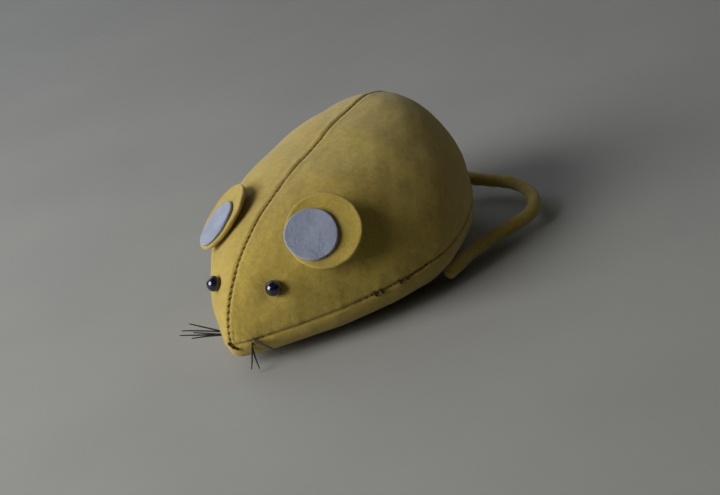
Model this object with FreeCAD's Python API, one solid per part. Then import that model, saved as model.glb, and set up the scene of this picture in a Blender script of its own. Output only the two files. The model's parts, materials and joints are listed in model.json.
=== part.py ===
import FreeCAD
import Part
import math
import os

# A felt mouse with a clockwork drive inside it, in millimetres.
# The origin is on the floor under the middle of the body.
# The nose points to -Y, the mouse's left is +X and up is +Z.
# The body is a sewn felt bag stuffed with wool. A spring motor stands in it, over a tin base plate.

V = FreeCAD.Vector
X_AXIS = V(1, 0, 0)
Y_AXIS = V(0, 1, 0)

# Body
BODY_LENGTH = 96.0
FELT = 1.4
HALF_WIDTHS = (14.0, 29.5, 36.5, 37.2, 37.4)
CROWN_HEIGHTS = (26.5, 28.6, 28.5, 32.5, 42.0)
WIDEST_AT_NOSE = 8.0
BELLY_LOWEST = 0.4
BELLY_FLAT = 1.8
CROWN_POWER = 1.8
SEAM_AT_NOSE = 8.0
SEAM_AT_RUMP = 15.0
STATIONS = 18
POINTS_ROUND = 32
END_STATION = 0.0006
CLEARANCE = 0.03

# Face: the beads' places are a station and an angle of the body surface
BEAD_R = 2.1
BEAD_PROUD = 0.5
BEAD_PLACES = ((0.113, 0.739), (0.0995, 2.326))
THREAD_R = 0.2
NOSE_STITCH_R = 0.32
NOSE_STITCH_START = V(-0.5, -47.9, 8.7)
NOSE_STITCH_SPAN = V(2.47, 0.49, -1.93)

# Whiskers: each thread's place on the body surface, then its free end seen from there
WHISKER_R = 0.22
WHISKER_ROOT = 0.6
LEFT_WHISKERS = (
    (0.0255, -0.254, V(-0.1, -2.4, -5.3)),
    (0.0270, -0.470, V(1.9, -1.5, -4.4)),
    (0.0340, 0.050, V(5.9, -0.5, -1.9)),
    (0.0370, -0.075, V(7.1, 0.4, -2.5)),
    (0.0400, -0.200, V(5.7, 0.8, -2.2)),
)
RIGHT_WHISKERS = (
    (0.0400, 3.330, V(-7.8, -3.9, 1.3)),
    (0.0445, 3.170, V(-9.4, -4.9, 1.4)),
    (0.0500, 3.040, V(-7.2, -3.4, 0.6)),
    (0.0560, 2.930, V(-8.4, -5.2, 1.2)),
    (0.0620, 2.800, V(-6.8, -3.2, 1.6)),
)

# Ears: the pale disc's face centre and outward direction, then the yellow disc's shift from it
EAR_R = 10.0
EAR_FELT = 1.2
EAR_INNER_R = 6.9
EAR_INNER_FELT = 1.0
EARS = {
    "left": (V(17.17, -26.03, 29.79), V(0.475, -0.58, 0.66), V(2.30, 2.25, 0.32)),
    "right": (V(-15.38, -25.61, 30.48), V(-0.44, -0.46, 0.774), V(-0.24, 2.44, 1.31)),
}
EAR_TACK_LENGTH = 1.6
EAR_TACK_INSET = 2.0
EAR_TACK_APART = 3.2

# Tail: the middle line runs from the rump round to the mouse's left
TAIL_R = 1.9
TAIL_WIRE_R = 0.45
TAIL_SHANK_R = 0.4
TAIL_SHANK_GAP = 0.1
TAIL_LINE = (
    V(0, 50.2, 12.9),
    V(1.6, 51.6, 11.8),
    V(4.4, 52.6, 9.6),
    V(8.6, 53.0, 7.3),
    V(13.6, 53.4, 5.9),
    V(19.8, 54.2, 5.2),
    V(26.4, 53.6, 5.0),
    V(33.0, 50.3, 5.0),
    V(38.6, 44.4, 5.0),
    V(41.3, 37.2, 4.8),
    V(40.0, 30.6, 4.5),
    V(37.6, 23.8, 4.3),
    V(36.1, 16.6, 4.2),
    V(35.6, 9.6, 4.2),
    V(35.5, 3.4, 4.2),
)
TAIL_STATIONS = 30

# Stitches
STITCH_R = 0.2
STITCH_RING_R = 0.75
STITCH_DEPTH = 0.4
STITCH_PITCH = 2.8

# Motor frame
PLATE_INSIDE = 9.0
PLATE_THICK = 0.8
PLATE_TOP = 22.0
BASE_PLATE_BOTTOM = 1.2
PILLAR_R = 1.2
RIVET_R = 0.8
PILLAR_PLACES = ((33.8, 10.2), (13.2, 19.9), (28.9, 19.9), (-2.8, 12.9))
PLATE_OUTLINE = (
    (-4.6, BELLY_FLAT),
    (36.6, BELLY_FLAT),
    (36.6, 8.5),
    (35.4, 12.4),
    (31.6, 19.6),
    (29.4, PLATE_TOP),
    (12.0, PLATE_TOP),
    (3.0, 17.0),
    (-4.6, 14.8),
)
FOOT_PLACES = (-3.4, 16.0, 28.5)
FOOT_LENGTH = 3.0
COVER_WALL = 0.5
FRONT_FLANGE = ((-19.6, 19.6), (-12.6, 12.4))
REAR_FLANGE = ((-15.0, 15.0), (-12.6, 41.0))
SHAFT_GAP = 0.04

# Base plate
BASE_FRONT = ((-20.5, 20.5), (-13.5, 13.3))
BASE_REAR = ((-15.6, 15.6), (-13.5, 40.0))
BASE_CORNER = 4.0
WHEEL_SLOT = (5.8, 12.8)
ROLLER_SLOT = (7.2, 8.4)
COVER_RIVET_SPOTS = ((18.2, -11.2), (18.2, 11.0), (13.0, 16.0), (13.0, 26.0))
COVER_RIVET_HEAD = (1.36, 0.4)

# Gear train: each arbor's place is (y, z)
MODULE = 0.5
PRESSURE_ANGLE = math.radians(20.0)
PROFILE_SHIFT = 0.4
TOOTH_THINNING = 0.07
GREAT_TEETH = 36
WHEEL_TEETH = 30
PINION_TEETH = 10
DRIVE_PLACE = (0.0, 8.0)
SECOND_HEIGHT = 10.5
GREAT_HEIGHT = 12.0
DRIVE_SHAFT_R = 1.0
SECOND_SHAFT_R = 0.8
WINDING_SHAFT_R = 1.5
GREAT_WHEEL_X = (4.2, 5.4)
SECOND_PINION_X = (3.9, 5.7)
SECOND_WHEEL_X = (-8.2, -7.2)
DRIVE_PINION_X = (-8.5, -6.9)

# Spring and ratchet
SPRING_X = (-4.6, 1.4)
SPRING_DRUM_R = 2.4
SPRING_OUTER_R = 8.6
SPRING_TURNS = 6
SPRING_STRIP = 0.3
RATCHET_X = (5.7, 6.9)
RATCHET_TEETH = 12
RATCHET_TIP_R = 4.2
RATCHET_ROOT_R = 3.3
RATCHET_UNDERCUT = 0.02
CLICK_TOOTH = 4
CLICK_PIVOT_R = 6.6
CLICK_PIVOT_ANGLE = math.radians(60.0)
CLICK_PIN_R = 0.5
CLICK_PIN_HEAD = (0.9, 0.6)

# Wheels
WHEEL_R = 8.0
WHEEL_X = (10.9, 15.1)
TYRE_INNER_R = 6.6
AXLE_END = 15.9
ROLLER_PLACE = (33.5, 4.0)
ROLLER_HALF_WIDTH = 3.0
ROLLER_PIN_R = 0.6

# Key, on the mouse's right flank
KEY_SOCKET_X = (-46.6, -36.9)
KEY_SOCKET_R = 2.2
KEY_WING_X = -42.8
KEY_WING_R = 4.2
KEY_WING_OFFSET = 4.8
KEY_SHEET = 1.2
GUIDE_TUBE_R = (1.9, 2.4)
EYELET_R = (2.7, 3.1, 4.8)
EYELET_LIP = 0.5
EYELET_BARREL = 1.6

SECOND_DISTANCE = MODULE * (PINION_TEETH + WHEEL_TEETH) / 2
GREAT_DISTANCE = MODULE * (PINION_TEETH + GREAT_TEETH) / 2


def place_behind(place, distance, height):
    """The place of an arbor at a set distance behind another, at a set height."""
    rise = height - place[1]
    return (place[0] + math.sqrt(distance**2 - rise**2), height)


SECOND_PLACE = place_behind(DRIVE_PLACE, SECOND_DISTANCE, SECOND_HEIGHT)
GREAT_PLACE = place_behind(SECOND_PLACE, GREAT_DISTANCE, GREAT_HEIGHT)


def save(name, *solids):
    """Writes one node, made of one solid or a group of separate solids."""
    flat = [solid for shape in solids for solid in shape.Solids]
    shape = flat[0] if len(flat) == 1 else Part.makeCompound(flat)
    if not shape.isValid():
        print("not valid:", name)
    shape.exportStep("parts/" + name + ".step")


def box(x, y, z):
    """A box from its low and high X, Y and Z."""
    return Part.makeBox(x[1] - x[0], y[1] - y[0], z[1] - z[0], V(x[0], y[0], z[0]))


def rod(radius, x, place):
    """A cylinder along X, from x[0] to x[1], at a (y, z) place."""
    return Part.makeCylinder(radius, x[1] - x[0], V(x[0], place[0], place[1]), X_AXIS)


def mirror(shape):
    return shape.mirror(V(0, 0, 0), X_AXIS)


def mirrored(vector):
    return V(-vector.x, vector.y, vector.z)


# Body surface. The station runs from 0 at the nose to 1 at the rump.
# The angle goes round from the mouse's left, over the back, to its right.


def through(values, station):
    """The smooth curve through five values at equal steps of the station."""
    steps = [i / (len(values) - 1) for i in range(len(values))]
    total = 0.0
    for i, value in enumerate(values):
        for j, step in enumerate(steps):
            if j != i:
                value *= (station - step) / (steps[i] - step)
        total += value
    return total


def roundness(station):
    return 2 * math.sqrt(station * (1 - station))


def widest_height(station):
    """Height above the floor of the body's widest line."""
    return WIDEST_AT_NOSE - station + 14 * station**2


def belly_power(station):
    return 2.3 + 0.6 * station


def body_point(station, angle, inset=0.0):
    """A point of the body's outside, or of its inside when the inset is the felt's thickness."""
    half_width = roundness(station) * (through(HALF_WIDTHS, station) - inset)
    crown = roundness(station) * (through(CROWN_HEIGHTS, station) - inset)
    fullness = (4 * station * (1 - station)) ** (0.2 if station < 0.5 else 0.12)
    belly = (widest_height(station) - BELLY_LOWEST - inset) * fullness
    up = math.sin(angle)
    across = math.cos(angle)
    power = CROWN_POWER if up > 0 else belly_power(station)
    reach = (abs(across) ** power + abs(up) ** power) ** (-1 / power)
    height = crown if up > 0 else belly
    y = (station - 0.5) * (BODY_LENGTH - 2 * inset)
    return V(half_width * reach * across, y, widest_height(station) + height * reach * up)


def body_normal(station, angle):
    step = 1e-4
    along = body_point(station + step, angle) - body_point(station - step, angle)
    around = body_point(station, angle + step) - body_point(station, angle - step)
    return along.cross(around).normalize()


def station_at(y):
    return y / BODY_LENGTH + 0.5


def body_solid(inset, floor):
    """The closed body, lofted through its sections and cut flat underneath."""
    wide = (-60, 60)
    sections = []
    for k in range(STATIONS + 1):
        station = (1 - math.cos(math.pi * k / STATIONS)) / 2
        station = min(max(station, END_STATION), 1 - END_STATION)
        angles = [2 * math.pi * i / POINTS_ROUND for i in range(POINTS_ROUND)]
        curve = Part.BSplineCurve()
        curve.interpolate(Points=[body_point(station, a, inset) for a in angles], PeriodicFlag=True)
        sections.append(Part.Wire(curve.toShape()))
    solid = Part.makeLoft(sections, True, False)
    return solid.common(box(wide, wide, (floor, 80)))


def seam_height(y):
    """Height of the seam between the side panels and the base panel."""
    return SEAM_AT_NOSE + (SEAM_AT_RUMP - SEAM_AT_NOSE) * station_at(y)


def above_base_seam():
    """Everything above the slanting plane of the base seam."""
    slope = math.degrees(math.atan2(SEAM_AT_RUMP - SEAM_AT_NOSE, BODY_LENGTH))
    space = box((-80, 80), (-40, 160), (0, 100))
    space.rotate(V(0, 0, 0), X_AXIS, slope)
    space.translate(V(0, -BODY_LENGTH / 2, SEAM_AT_NOSE))
    return space


def base_seam_angle(station):
    """The section angle, on the left, where the body crosses the base seam's height."""
    low, high = -1.4, 1.4
    target = seam_height((station - 0.5) * BODY_LENGTH)
    for _ in range(40):
        middle = (low + high) / 2
        if body_point(station, middle).z < target:
            low = middle
        else:
            high = middle
    return middle


# Motor room: the space under the tin cover, open through the base panel

WHEEL_ROOM = ((-16.8, 16.8), (-9.4, 9.4), 17.4)
FRAME_ROOM = ((-10.9, 10.9), (-5.8, 38.4), 22.9)


def motor_room(grow, bottom):
    parts = []
    for x, y, top in (WHEEL_ROOM, FRAME_ROOM):
        wide = (x[0] - grow, x[1] + grow)
        parts.append(box(wide, (y[0] - grow, y[1] + grow), (bottom, top + grow)))
    return parts[0].fuse(parts[1]).removeSplitter()


def flanges(grow, z):
    """The two sheets of the cover's flange, grown sideways."""
    sheets = []
    for x, y in (FRONT_FLANGE, REAR_FLANGE):
        sheets.append(box((x[0] - grow, x[1] + grow), (y[0] - grow, y[1] + grow), z))
    return sheets[0].fuse(sheets[1])


def make_cover(inner):
    """The tin cover: a lid over the motor with a flange that clamps the base panel."""
    flange_z = (BELLY_FLAT + FELT, BELLY_FLAT + FELT + COVER_WALL)
    cover = motor_room(COVER_WALL, flange_z[0]).fuse(flanges(0, flange_z))
    cover = cover.cut(motor_room(0, 0))
    cover = cover.cut(rod(GUIDE_TUBE_R[1], (-14, -5), GREAT_PLACE))
    return cover.common(inner).removeSplitter()


# Gears


def involute(angle):
    return math.tan(angle) - angle


def gear(teeth, shift, x, place, tooth_at, bore):
    """A spur gear along X. tooth_at is the angle of one tooth's middle, from +Y towards +Z."""
    pitch_r = MODULE * teeth / 2
    base_r = pitch_r * math.cos(PRESSURE_ANGLE)
    tip_r = pitch_r + MODULE * (1 + shift)
    root_r = pitch_r - MODULE * (1.25 - shift)
    thickness = MODULE * (math.pi / 2 + 2 * shift * math.tan(PRESSURE_ANGLE)) - TOOTH_THINNING
    flank = [max(root_r, base_r) + (tip_r - max(root_r, base_r)) * i / 4 for i in range(5)]

    def half_angle(radius):
        turn = math.acos(min(1.0, base_r / radius))
        return thickness / (2 * pitch_r) + involute(PRESSURE_ANGLE) - involute(turn)

    corners = [(root_r, -half_angle(flank[0]))] if root_r < base_r else []
    corners += [(r, -half_angle(r)) for r in flank]
    corners += [(r, -a) for r, a in reversed(corners)]
    points = []
    for tooth in range(teeth):
        middle = tooth_at + 2 * math.pi * tooth / teeth
        for radius, angle in corners:
            y = place[0] + radius * math.cos(middle + angle)
            z = place[1] + radius * math.sin(middle + angle)
            points.append(V(x[0], y, z))
    wheel = prism(points, x[1] - x[0])
    return wheel.cut(rod(bore, (x[0] - 1, x[1] + 1), place))


def prism(points, thickness):
    """A flat outline at one X, pushed along +X."""
    return Part.Face(Part.makePolygon(points + points[:1])).extrude(V(thickness, 0, 0))


def direction(start, end):
    return math.atan2(end[1] - start[1], end[0] - start[0])


def make_gears():
    to_second = direction(DRIVE_PLACE, SECOND_PLACE)
    to_great = direction(SECOND_PLACE, GREAT_PLACE)
    half_gap = math.pi / PINION_TEETH
    shift = PROFILE_SHIFT
    shaft = DRIVE_SHAFT_R
    pinion = gear(PINION_TEETH, shift, DRIVE_PINION_X, DRIVE_PLACE, to_second + half_gap, shaft)
    save("drive_pinion", pinion)
    shaft = SECOND_SHAFT_R
    wheel = gear(WHEEL_TEETH, -shift, SECOND_WHEEL_X, SECOND_PLACE, to_second + math.pi, shaft)
    save("second_wheel", wheel)
    pinion = gear(PINION_TEETH, shift, SECOND_PINION_X, SECOND_PLACE, to_great + half_gap, shaft)
    save("second_pinion", pinion)
    bore = WINDING_SHAFT_R + SHAFT_GAP
    wheel = gear(GREAT_TEETH, -shift, GREAT_WHEEL_X, GREAT_PLACE, to_great + math.pi, bore)
    save("great_wheel", wheel.cut(rod(CLICK_PIN_R, (0, 8), click_pivot())))


def around_great(radius, angle):
    return (GREAT_PLACE[0] + radius * math.cos(angle), GREAT_PLACE[1] + radius * math.sin(angle))


def click_pivot():
    return around_great(CLICK_PIVOT_R, CLICK_PIVOT_ANGLE)


def at_x(x, place):
    return V(x, place[0], place[1])


def make_ratchet():
    """The ratchet wheel on the winding arbor, and the sprung click that hooks its teeth."""
    step = 2 * math.pi / RATCHET_TEETH
    outline = []
    for tooth in range(RATCHET_TEETH):
        face = tooth * step
        outline.append(around_great(RATCHET_ROOT_R, face + RATCHET_UNDERCUT))
        outline.append(around_great(RATCHET_TIP_R, face + step))
    thickness = RATCHET_X[1] - RATCHET_X[0]
    ratchet = prism([at_x(RATCHET_X[0], p) for p in outline], thickness)
    save("ratchet_wheel", ratchet.cut(rod(WINDING_SHAFT_R, (0, 9), GREAT_PLACE)))

    pivot = click_pivot()
    head_x = (RATCHET_X[1] + 0.1, RATCHET_X[1] + 0.1 + CLICK_PIN_HEAD[1])
    head = rod(CLICK_PIN_HEAD[0], head_x, pivot)
    save("click_pin", rod(CLICK_PIN_R, (GREAT_WHEEL_X[0], head_x[1]), pivot).fuse(head))

    # The hook drops behind one tooth, and the arm passes outside the teeth back to the pivot.
    face = CLICK_TOOTH * step
    hook = (
        around_great(RATCHET_TIP_R + 0.22, face - 0.02),
        around_great(RATCHET_TIP_R - 0.02, face + 0.09),
        around_great(RATCHET_ROOT_R + 0.24, face + 0.11),
        around_great(RATCHET_ROOT_R + 0.52, face + 0.22),
        around_great(RATCHET_TIP_R + 1.10, face + 0.10),
        around_great(RATCHET_TIP_R + 1.35, face - 0.10),
    )
    boss = (
        around_great(CLICK_PIVOT_R + 1.0, CLICK_PIVOT_ANGLE + 0.22),
        around_great(CLICK_PIVOT_R + 1.25, CLICK_PIVOT_ANGLE - 0.04),
        around_great(CLICK_PIVOT_R - 0.1, CLICK_PIVOT_ANGLE - 0.20),
        around_great(CLICK_PIVOT_R - 1.1, CLICK_PIVOT_ANGLE + 0.02),
        around_great(RATCHET_TIP_R + 0.55, face - 0.42),
    )
    click = prism([at_x(RATCHET_X[0], p) for p in hook + boss], thickness)
    save("click_pawl", click.cut(rod(CLICK_PIN_R + SHAFT_GAP, (0, 9), pivot)))

    far = around_great(7.7, CLICK_PIVOT_ANGLE + 1.62)
    post = rod(0.4, (GREAT_WHEEL_X[1], RATCHET_X[1]), far)
    near = around_great(RATCHET_TIP_R + 2.35, face - 0.32)
    leaf = strip(far, near, 0.18, (RATCHET_X[0] + 0.1, RATCHET_X[1] - 0.1))
    save("click_spring", post.fuse(leaf))


def strip(start, end, thickness, x):
    """A thin straight strip on edge between two (y, z) places."""
    angle = direction(start, end) + math.pi / 2
    side = (thickness / 2 * math.cos(angle), thickness / 2 * math.sin(angle))
    corners = [
        (start[0] + side[0], start[1] + side[1]),
        (end[0] + side[0], end[1] + side[1]),
        (end[0] - side[0], end[1] - side[1]),
        (start[0] - side[0], start[1] - side[1]),
    ]
    return prism([at_x(x[0], p) for p in corners], x[1] - x[0])


def make_mainspring():
    """The coiled strip, from the arbor's drum out to a loop over a frame pillar."""
    pillar = PILLAR_PLACES[2]
    end_angle = direction(GREAT_PLACE, pillar)
    inner_r = SPRING_DRUM_R + SHAFT_GAP
    steps = 16 * SPRING_TURNS
    sides = []
    for extra in (0.0, SPRING_STRIP):
        points = []
        for k in range(steps + 1):
            share = k / steps
            radius = inner_r + (SPRING_OUTER_R - SPRING_STRIP - inner_r) * share + extra
            angle = end_angle - 2 * math.pi * SPRING_TURNS * (1 - share)
            points.append(at_x(SPRING_X[0], around_great(radius, angle)))
        curve = Part.BSplineCurve()
        curve.interpolate(points)
        sides.append(curve.toShape())
    caps = [
        Part.makeLine(sides[0].Vertexes[i].Point, sides[1].Vertexes[i].Point)
        for i in (0, -1)
    ]
    outline = Part.Wire(Part.__sortEdges__([sides[0], caps[1], sides[1], caps[0]]))
    coil = Part.Face(outline).extrude(V(SPRING_X[1] - SPRING_X[0], 0, 0))
    tab_start = around_great(SPRING_OUTER_R - SPRING_STRIP, end_angle)
    tab_end = around_great(math.dist(GREAT_PLACE, pillar) - PILLAR_R - 0.1, end_angle)
    tab = strip(tab_start, tab_end, SPRING_STRIP, SPRING_X)
    eye = rod(PILLAR_R + SHAFT_GAP, (-10, 10), pillar)
    loop = rod(PILLAR_R + SHAFT_GAP + SPRING_STRIP, SPRING_X, pillar).cut(eye)
    tab = tab.cut(eye)
    save("mainspring", coil.fuse(tab).fuse(loop).removeSplitter())


def make_arbors():
    journal = (-PLATE_INSIDE - PLATE_THICK - 0.3, PLATE_INSIDE + PLATE_THICK + 0.3)
    save("second_arbor", rod(SECOND_SHAFT_R, journal, SECOND_PLACE))
    save("drive_axle", rod(DRIVE_SHAFT_R, (-AXLE_END, AXLE_END), DRIVE_PLACE))
    winding = rod(WINDING_SHAFT_R, (KEY_SOCKET_X[0] + 1.5, journal[1]), GREAT_PLACE)
    drum = rod(SPRING_DRUM_R, (SPRING_X[0] - 0.5, GREAT_WHEEL_X[0] - 0.1), GREAT_PLACE)
    save("winding_arbor", winding.fuse(drum))


def make_frame():
    """Two plates on four pillars, standing on the base plate."""
    blank = prism([at_x(-PLATE_THICK / 2, p) for p in PLATE_OUTLINE], PLATE_THICK)
    holes = [
        (DRIVE_SHAFT_R + SHAFT_GAP, DRIVE_PLACE),
        (SECOND_SHAFT_R + SHAFT_GAP, SECOND_PLACE),
        (WINDING_SHAFT_R + SHAFT_GAP, GREAT_PLACE),
        (ROLLER_PIN_R, ROLLER_PLACE),
    ]
    holes += [(RIVET_R, place) for place in PILLAR_PLACES]
    for radius, place in holes:
        blank = blank.cut(rod(radius, (-2, 2), place))
    for name, side in (("left_frame_plate", 1), ("right_frame_plate", -1)):
        plate = blank.copy()
        plate.translate(V(side * (PLATE_INSIDE + PLATE_THICK / 2), 0, 0))
        feet = [foot(y, side) for y in FOOT_PLACES]
        save(name, plate.multiFuse(feet).removeSplitter())
    pillars = []
    for place in PILLAR_PLACES:
        body = rod(PILLAR_R, (-PLATE_INSIDE, PLATE_INSIDE), place)
        end = PLATE_INSIDE + PLATE_THICK
        pillars.append(body.fuse(rod(RIVET_R, (-end, end), place)))
    save("frame_pillars", *pillars)


def foot(y, side):
    """A tab of a frame plate that is let into the base plate."""
    low = min(side * PLATE_INSIDE, side * (PLATE_INSIDE + PLATE_THICK))
    return box((low, low + PLATE_THICK), (y, y + FOOT_LENGTH), (BASE_PLATE_BOTTOM, BELLY_FLAT))


def rounded_sheet(x, y, z, corner):
    sheet = box(x, y, z)
    upright = [e for e in sheet.Edges if abs(e.tangentAt(e.FirstParameter).z) > 0.9]
    return sheet.makeFillet(corner, upright)


def centred(middle, width):
    return (middle - width / 2, middle + width / 2)


def make_base_plate():
    """The tin plate under the belly, with slots for the wheels, the roller and the feet."""
    z = (BASE_PLATE_BOTTOM, BELLY_FLAT)
    sheet = rounded_sheet(BASE_FRONT[0], BASE_FRONT[1], z, BASE_CORNER)
    sheet = sheet.fuse(rounded_sheet(BASE_REAR[0], BASE_REAR[1], z, BASE_CORNER)).removeSplitter()
    wheel_middle = (WHEEL_X[0] + WHEEL_X[1]) / 2
    through_z = (0, 3)
    slots = []
    for side in (-1, 1):
        x = centred(side * wheel_middle, WHEEL_SLOT[0])
        slots.append(box(x, centred(DRIVE_PLACE[0], WHEEL_SLOT[1]), through_z))
        slots += [foot(y, side) for y in FOOT_PLACES]
    slots.append(box(centred(0, ROLLER_SLOT[0]), centred(ROLLER_PLACE[0], ROLLER_SLOT[1]), through_z))
    rivet_z = (BASE_PLATE_BOTTOM, BELLY_FLAT + FELT + COVER_WALL)
    rivets = []
    for side in (-1, 1):
        for x, y in COVER_RIVET_SPOTS:
            shank = Part.makeCylinder(RIVET_R, rivet_z[1] - rivet_z[0], V(side * x, y, rivet_z[0]))
            slots.append(shank)
            head_r, head_height = COVER_RIVET_HEAD
            head = Part.makeCylinder(head_r, head_height, V(side * x, y, rivet_z[1]))
            rivets.append(shank.fuse(head))
    for slot in slots:
        sheet = sheet.cut(slot)
    save("base_plate", sheet)
    save("cover_rivets", *rivets)
    return rivets


def make_wheels():
    for name, side in (("left", 1), ("right", -1)):
        tyre = rod(WHEEL_R, WHEEL_X, DRIVE_PLACE)
        rim_edges = [e for e in tyre.Edges if abs(e.Length - 2 * math.pi * WHEEL_R) < 0.1]
        tyre = tyre.makeFillet(0.6, rim_edges).cut(rod(TYRE_INNER_R, (0, 20), DRIVE_PLACE))
        middle = (WHEEL_X[0] + 1.3, WHEEL_X[1] - 1.3)
        disc = rod(TYRE_INNER_R, middle, DRIVE_PLACE).fuse(rod(2.2, WHEEL_X, DRIVE_PLACE))
        rim = rod(TYRE_INNER_R, WHEEL_X, DRIVE_PLACE)
        rim = rim.cut(rod(TYRE_INNER_R - 0.6, (0, 20), DRIVE_PLACE))
        disc = disc.fuse(rim).cut(rod(DRIVE_SHAFT_R, (0, 20), DRIVE_PLACE)).removeSplitter()
        save(name + "_tyre", tyre if side > 0 else mirror(tyre))
        save(name + "_drive_wheel", disc if side > 0 else mirror(disc))
    reach = (-ROLLER_HALF_WIDTH, ROLLER_HALF_WIDTH)
    roller = rod(ROLLER_PLACE[1], reach, ROLLER_PLACE)
    roller = roller.makeFillet(0.5, roller.Edges)
    save("tail_roller", roller.cut(rod(ROLLER_PIN_R + SHAFT_GAP, (-9, 9), ROLLER_PLACE)))
    end = PLATE_INSIDE + PLATE_THICK
    pin = rod(ROLLER_PIN_R, (-end, end), ROLLER_PLACE)
    collar_end = ROLLER_HALF_WIDTH + 0.2
    for side in (-1, 1):
        low = min(side * collar_end, side * PLATE_INSIDE)
        collar = rod(ROLLER_PIN_R + 0.5, (low, low + PLATE_INSIDE - collar_end), ROLLER_PLACE)
        pin = pin.fuse(collar)
    save("roller_pin", pin)


def make_key():
    """A two-winged sheet key on a socket, with its guide tube and its eyelet in the felt."""
    y, z = GREAT_PLACE
    wings = []
    for side in (-1, 1):
        centre = V(KEY_WING_X, y + side * KEY_WING_OFFSET, z - KEY_SHEET / 2)
        wings.append(Part.makeCylinder(KEY_WING_R, KEY_SHEET, centre))
    web = box((KEY_WING_X - 2, KEY_WING_X + 3.4), centred(y, 6), centred(z, KEY_SHEET))
    bow = wings[0].fuse(wings[1]).fuse(web)
    for side in (-1, 1):
        centre = V(KEY_WING_X, y + side * (KEY_WING_OFFSET + 0.4), z - 2)
        bow = bow.cut(Part.makeCylinder(KEY_WING_R * 0.45, 4, centre))
    key = bow.fuse(rod(KEY_SOCKET_R, KEY_SOCKET_X, GREAT_PLACE))
    key = key.cut(rod(WINDING_SHAFT_R, (KEY_SOCKET_X[0] + 1.5, 0), GREAT_PLACE))
    save("winding_key", key.removeSplitter())


def key_exit():
    """Where the winding arbor crosses the right flank: the point and the outward direction."""
    station = station_at(GREAT_PLACE[0])
    low, high = -1.0, 1.0
    for _ in range(40):
        middle = (low + high) / 2
        if body_point(station, middle).z < GREAT_PLACE[1]:
            low = middle
        else:
            high = middle
    return mirrored(body_point(station, middle)), mirrored(body_normal(station, middle))


def ring(inner, outer, base, along, length):
    hole = Part.makeCylinder(inner, length, base, along)
    return Part.makeCylinder(outer, length, base, along).cut(hole)


def make_guide():
    point, outward = key_exit()
    tube_x = (point.x + 3.2, -FRAME_ROOM[0][1])
    tube = rod(GUIDE_TUBE_R[1], tube_x, GREAT_PLACE).cut(rod(GUIDE_TUBE_R[0], tube_x, GREAT_PLACE))
    barrel_start = point - outward * EYELET_BARREL
    barrel = ring(EYELET_R[0], EYELET_R[1], barrel_start, outward, EYELET_BARREL + EYELET_LIP)
    lip = ring(EYELET_R[0], EYELET_R[2], point + outward * 0.02, outward, EYELET_LIP)
    eyelet = barrel.fuse(lip).removeSplitter()
    save("key_guide_tube", tube)
    save("key_eyelet", eyelet)
    tunnel = Part.makeCylinder(EYELET_R[1] + CLEARANCE, 5, point - outward * 3, outward)
    well = rod(GUIDE_TUBE_R[1] + CLEARANCE, (-60, -5), GREAT_PLACE)
    seat = Part.makeCylinder(EYELET_R[2] + 0.3, 4, point, outward)
    return tunnel, well, seat


# Face, ears and tail


def make_eyes():
    """Two beads pulled together by one thread through the head."""
    centres = [body_point(*p) + body_normal(*p) * BEAD_PROUD for p in BEAD_PLACES]
    left, right = centres
    along = (left - right).normalize()
    reach = BEAD_R - 0.1
    start = right - along * reach
    length = (left - right).Length + 2 * reach
    save("eye_thread", Part.makeCylinder(THREAD_R, length, start, along))
    hole = Part.makeCylinder(THREAD_R + CLEARANCE, length + 2, start - along, along)
    for name, centre in zip(("left", "right"), centres):
        save(name + "_eye_bead", Part.makeSphere(BEAD_R, centre, along).cut(hole))
    dimples = [Part.makeSphere(BEAD_R + CLEARANCE, centre) for centre in centres]
    channel = Part.makeCylinder(THREAD_R + CLEARANCE, length, start, along)
    return dimples + [channel]


def make_whiskers():
    """Stiff thread ends knotted through each cheek."""
    for name, fan in (("left_whiskers", LEFT_WHISKERS), ("right_whiskers", RIGHT_WHISKERS)):
        threads = []
        for station, angle, reach in fan:
            along = V(reach).normalize()
            start = body_point(station, angle) - along * WHISKER_ROOT
            length = reach.Length + WHISKER_ROOT
            threads.append(Part.makeCylinder(WHISKER_R, length, start, along))
        save(name, *threads)


def make_nose_stitch():
    span = NOSE_STITCH_SPAN
    save("nose_stitch", Part.makeCylinder(NOSE_STITCH_R, span.Length, NOSE_STITCH_START, span))


def make_ear(side):
    """One ear: a felt disc with a smaller pale disc glued to its face, off centre."""
    face, normal, shift = EARS[side]
    normal = V(normal).normalize()
    inner = Part.makeCylinder(EAR_INNER_R, EAR_INNER_FELT, face - normal * EAR_INNER_FELT, normal)
    back = face - normal * (EAR_INNER_FELT + EAR_FELT)
    centre = back + shift - normal * shift.dot(normal)
    outer = Part.makeCylinder(EAR_R, EAR_FELT, centre, normal)
    save(side + "_ear_inner", inner.makeFillet(0.2, inner.Edges[:1]))
    save(side + "_ear_outer", outer)
    return centre, normal


def nearest_rim(centre, normal):
    """How far an ear's back stands from the head, and the way to the nearest place."""
    best = None
    for i in range(60):
        for j in range(121):
            point = body_point(0.10 + 0.005 * i, j * math.pi / 120)
            offset = point - centre
            height = offset.dot(normal)
            flat = offset - normal * height
            if flat.Length < EAR_R and (best is None or height > best[0]):
                best = (height, flat)
    return -best[0], V(best[1]).normalize()


def make_ears():
    for side in EARS:
        centre, normal = make_ear(side)
        gap, toward = nearest_rim(centre, normal)
        across = normal.cross(toward).normalize()
        print(side, "ear: gap", round(gap, 2), "hinge at", centre + toward * EAR_R, "axis", across)
        tacks = []
        edge = centre + toward * (EAR_R - EAR_TACK_INSET)
        below = (EAR_TACK_LENGTH - EAR_FELT) / 2
        for turn in (-0.5, 0.5):
            place = edge + across * (EAR_TACK_APART * turn) - normal * below
            tacks.append(Part.makeCylinder(STITCH_R, EAR_TACK_LENGTH, place, normal))
        save(side + "_ear_stitches", *tacks)


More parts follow.
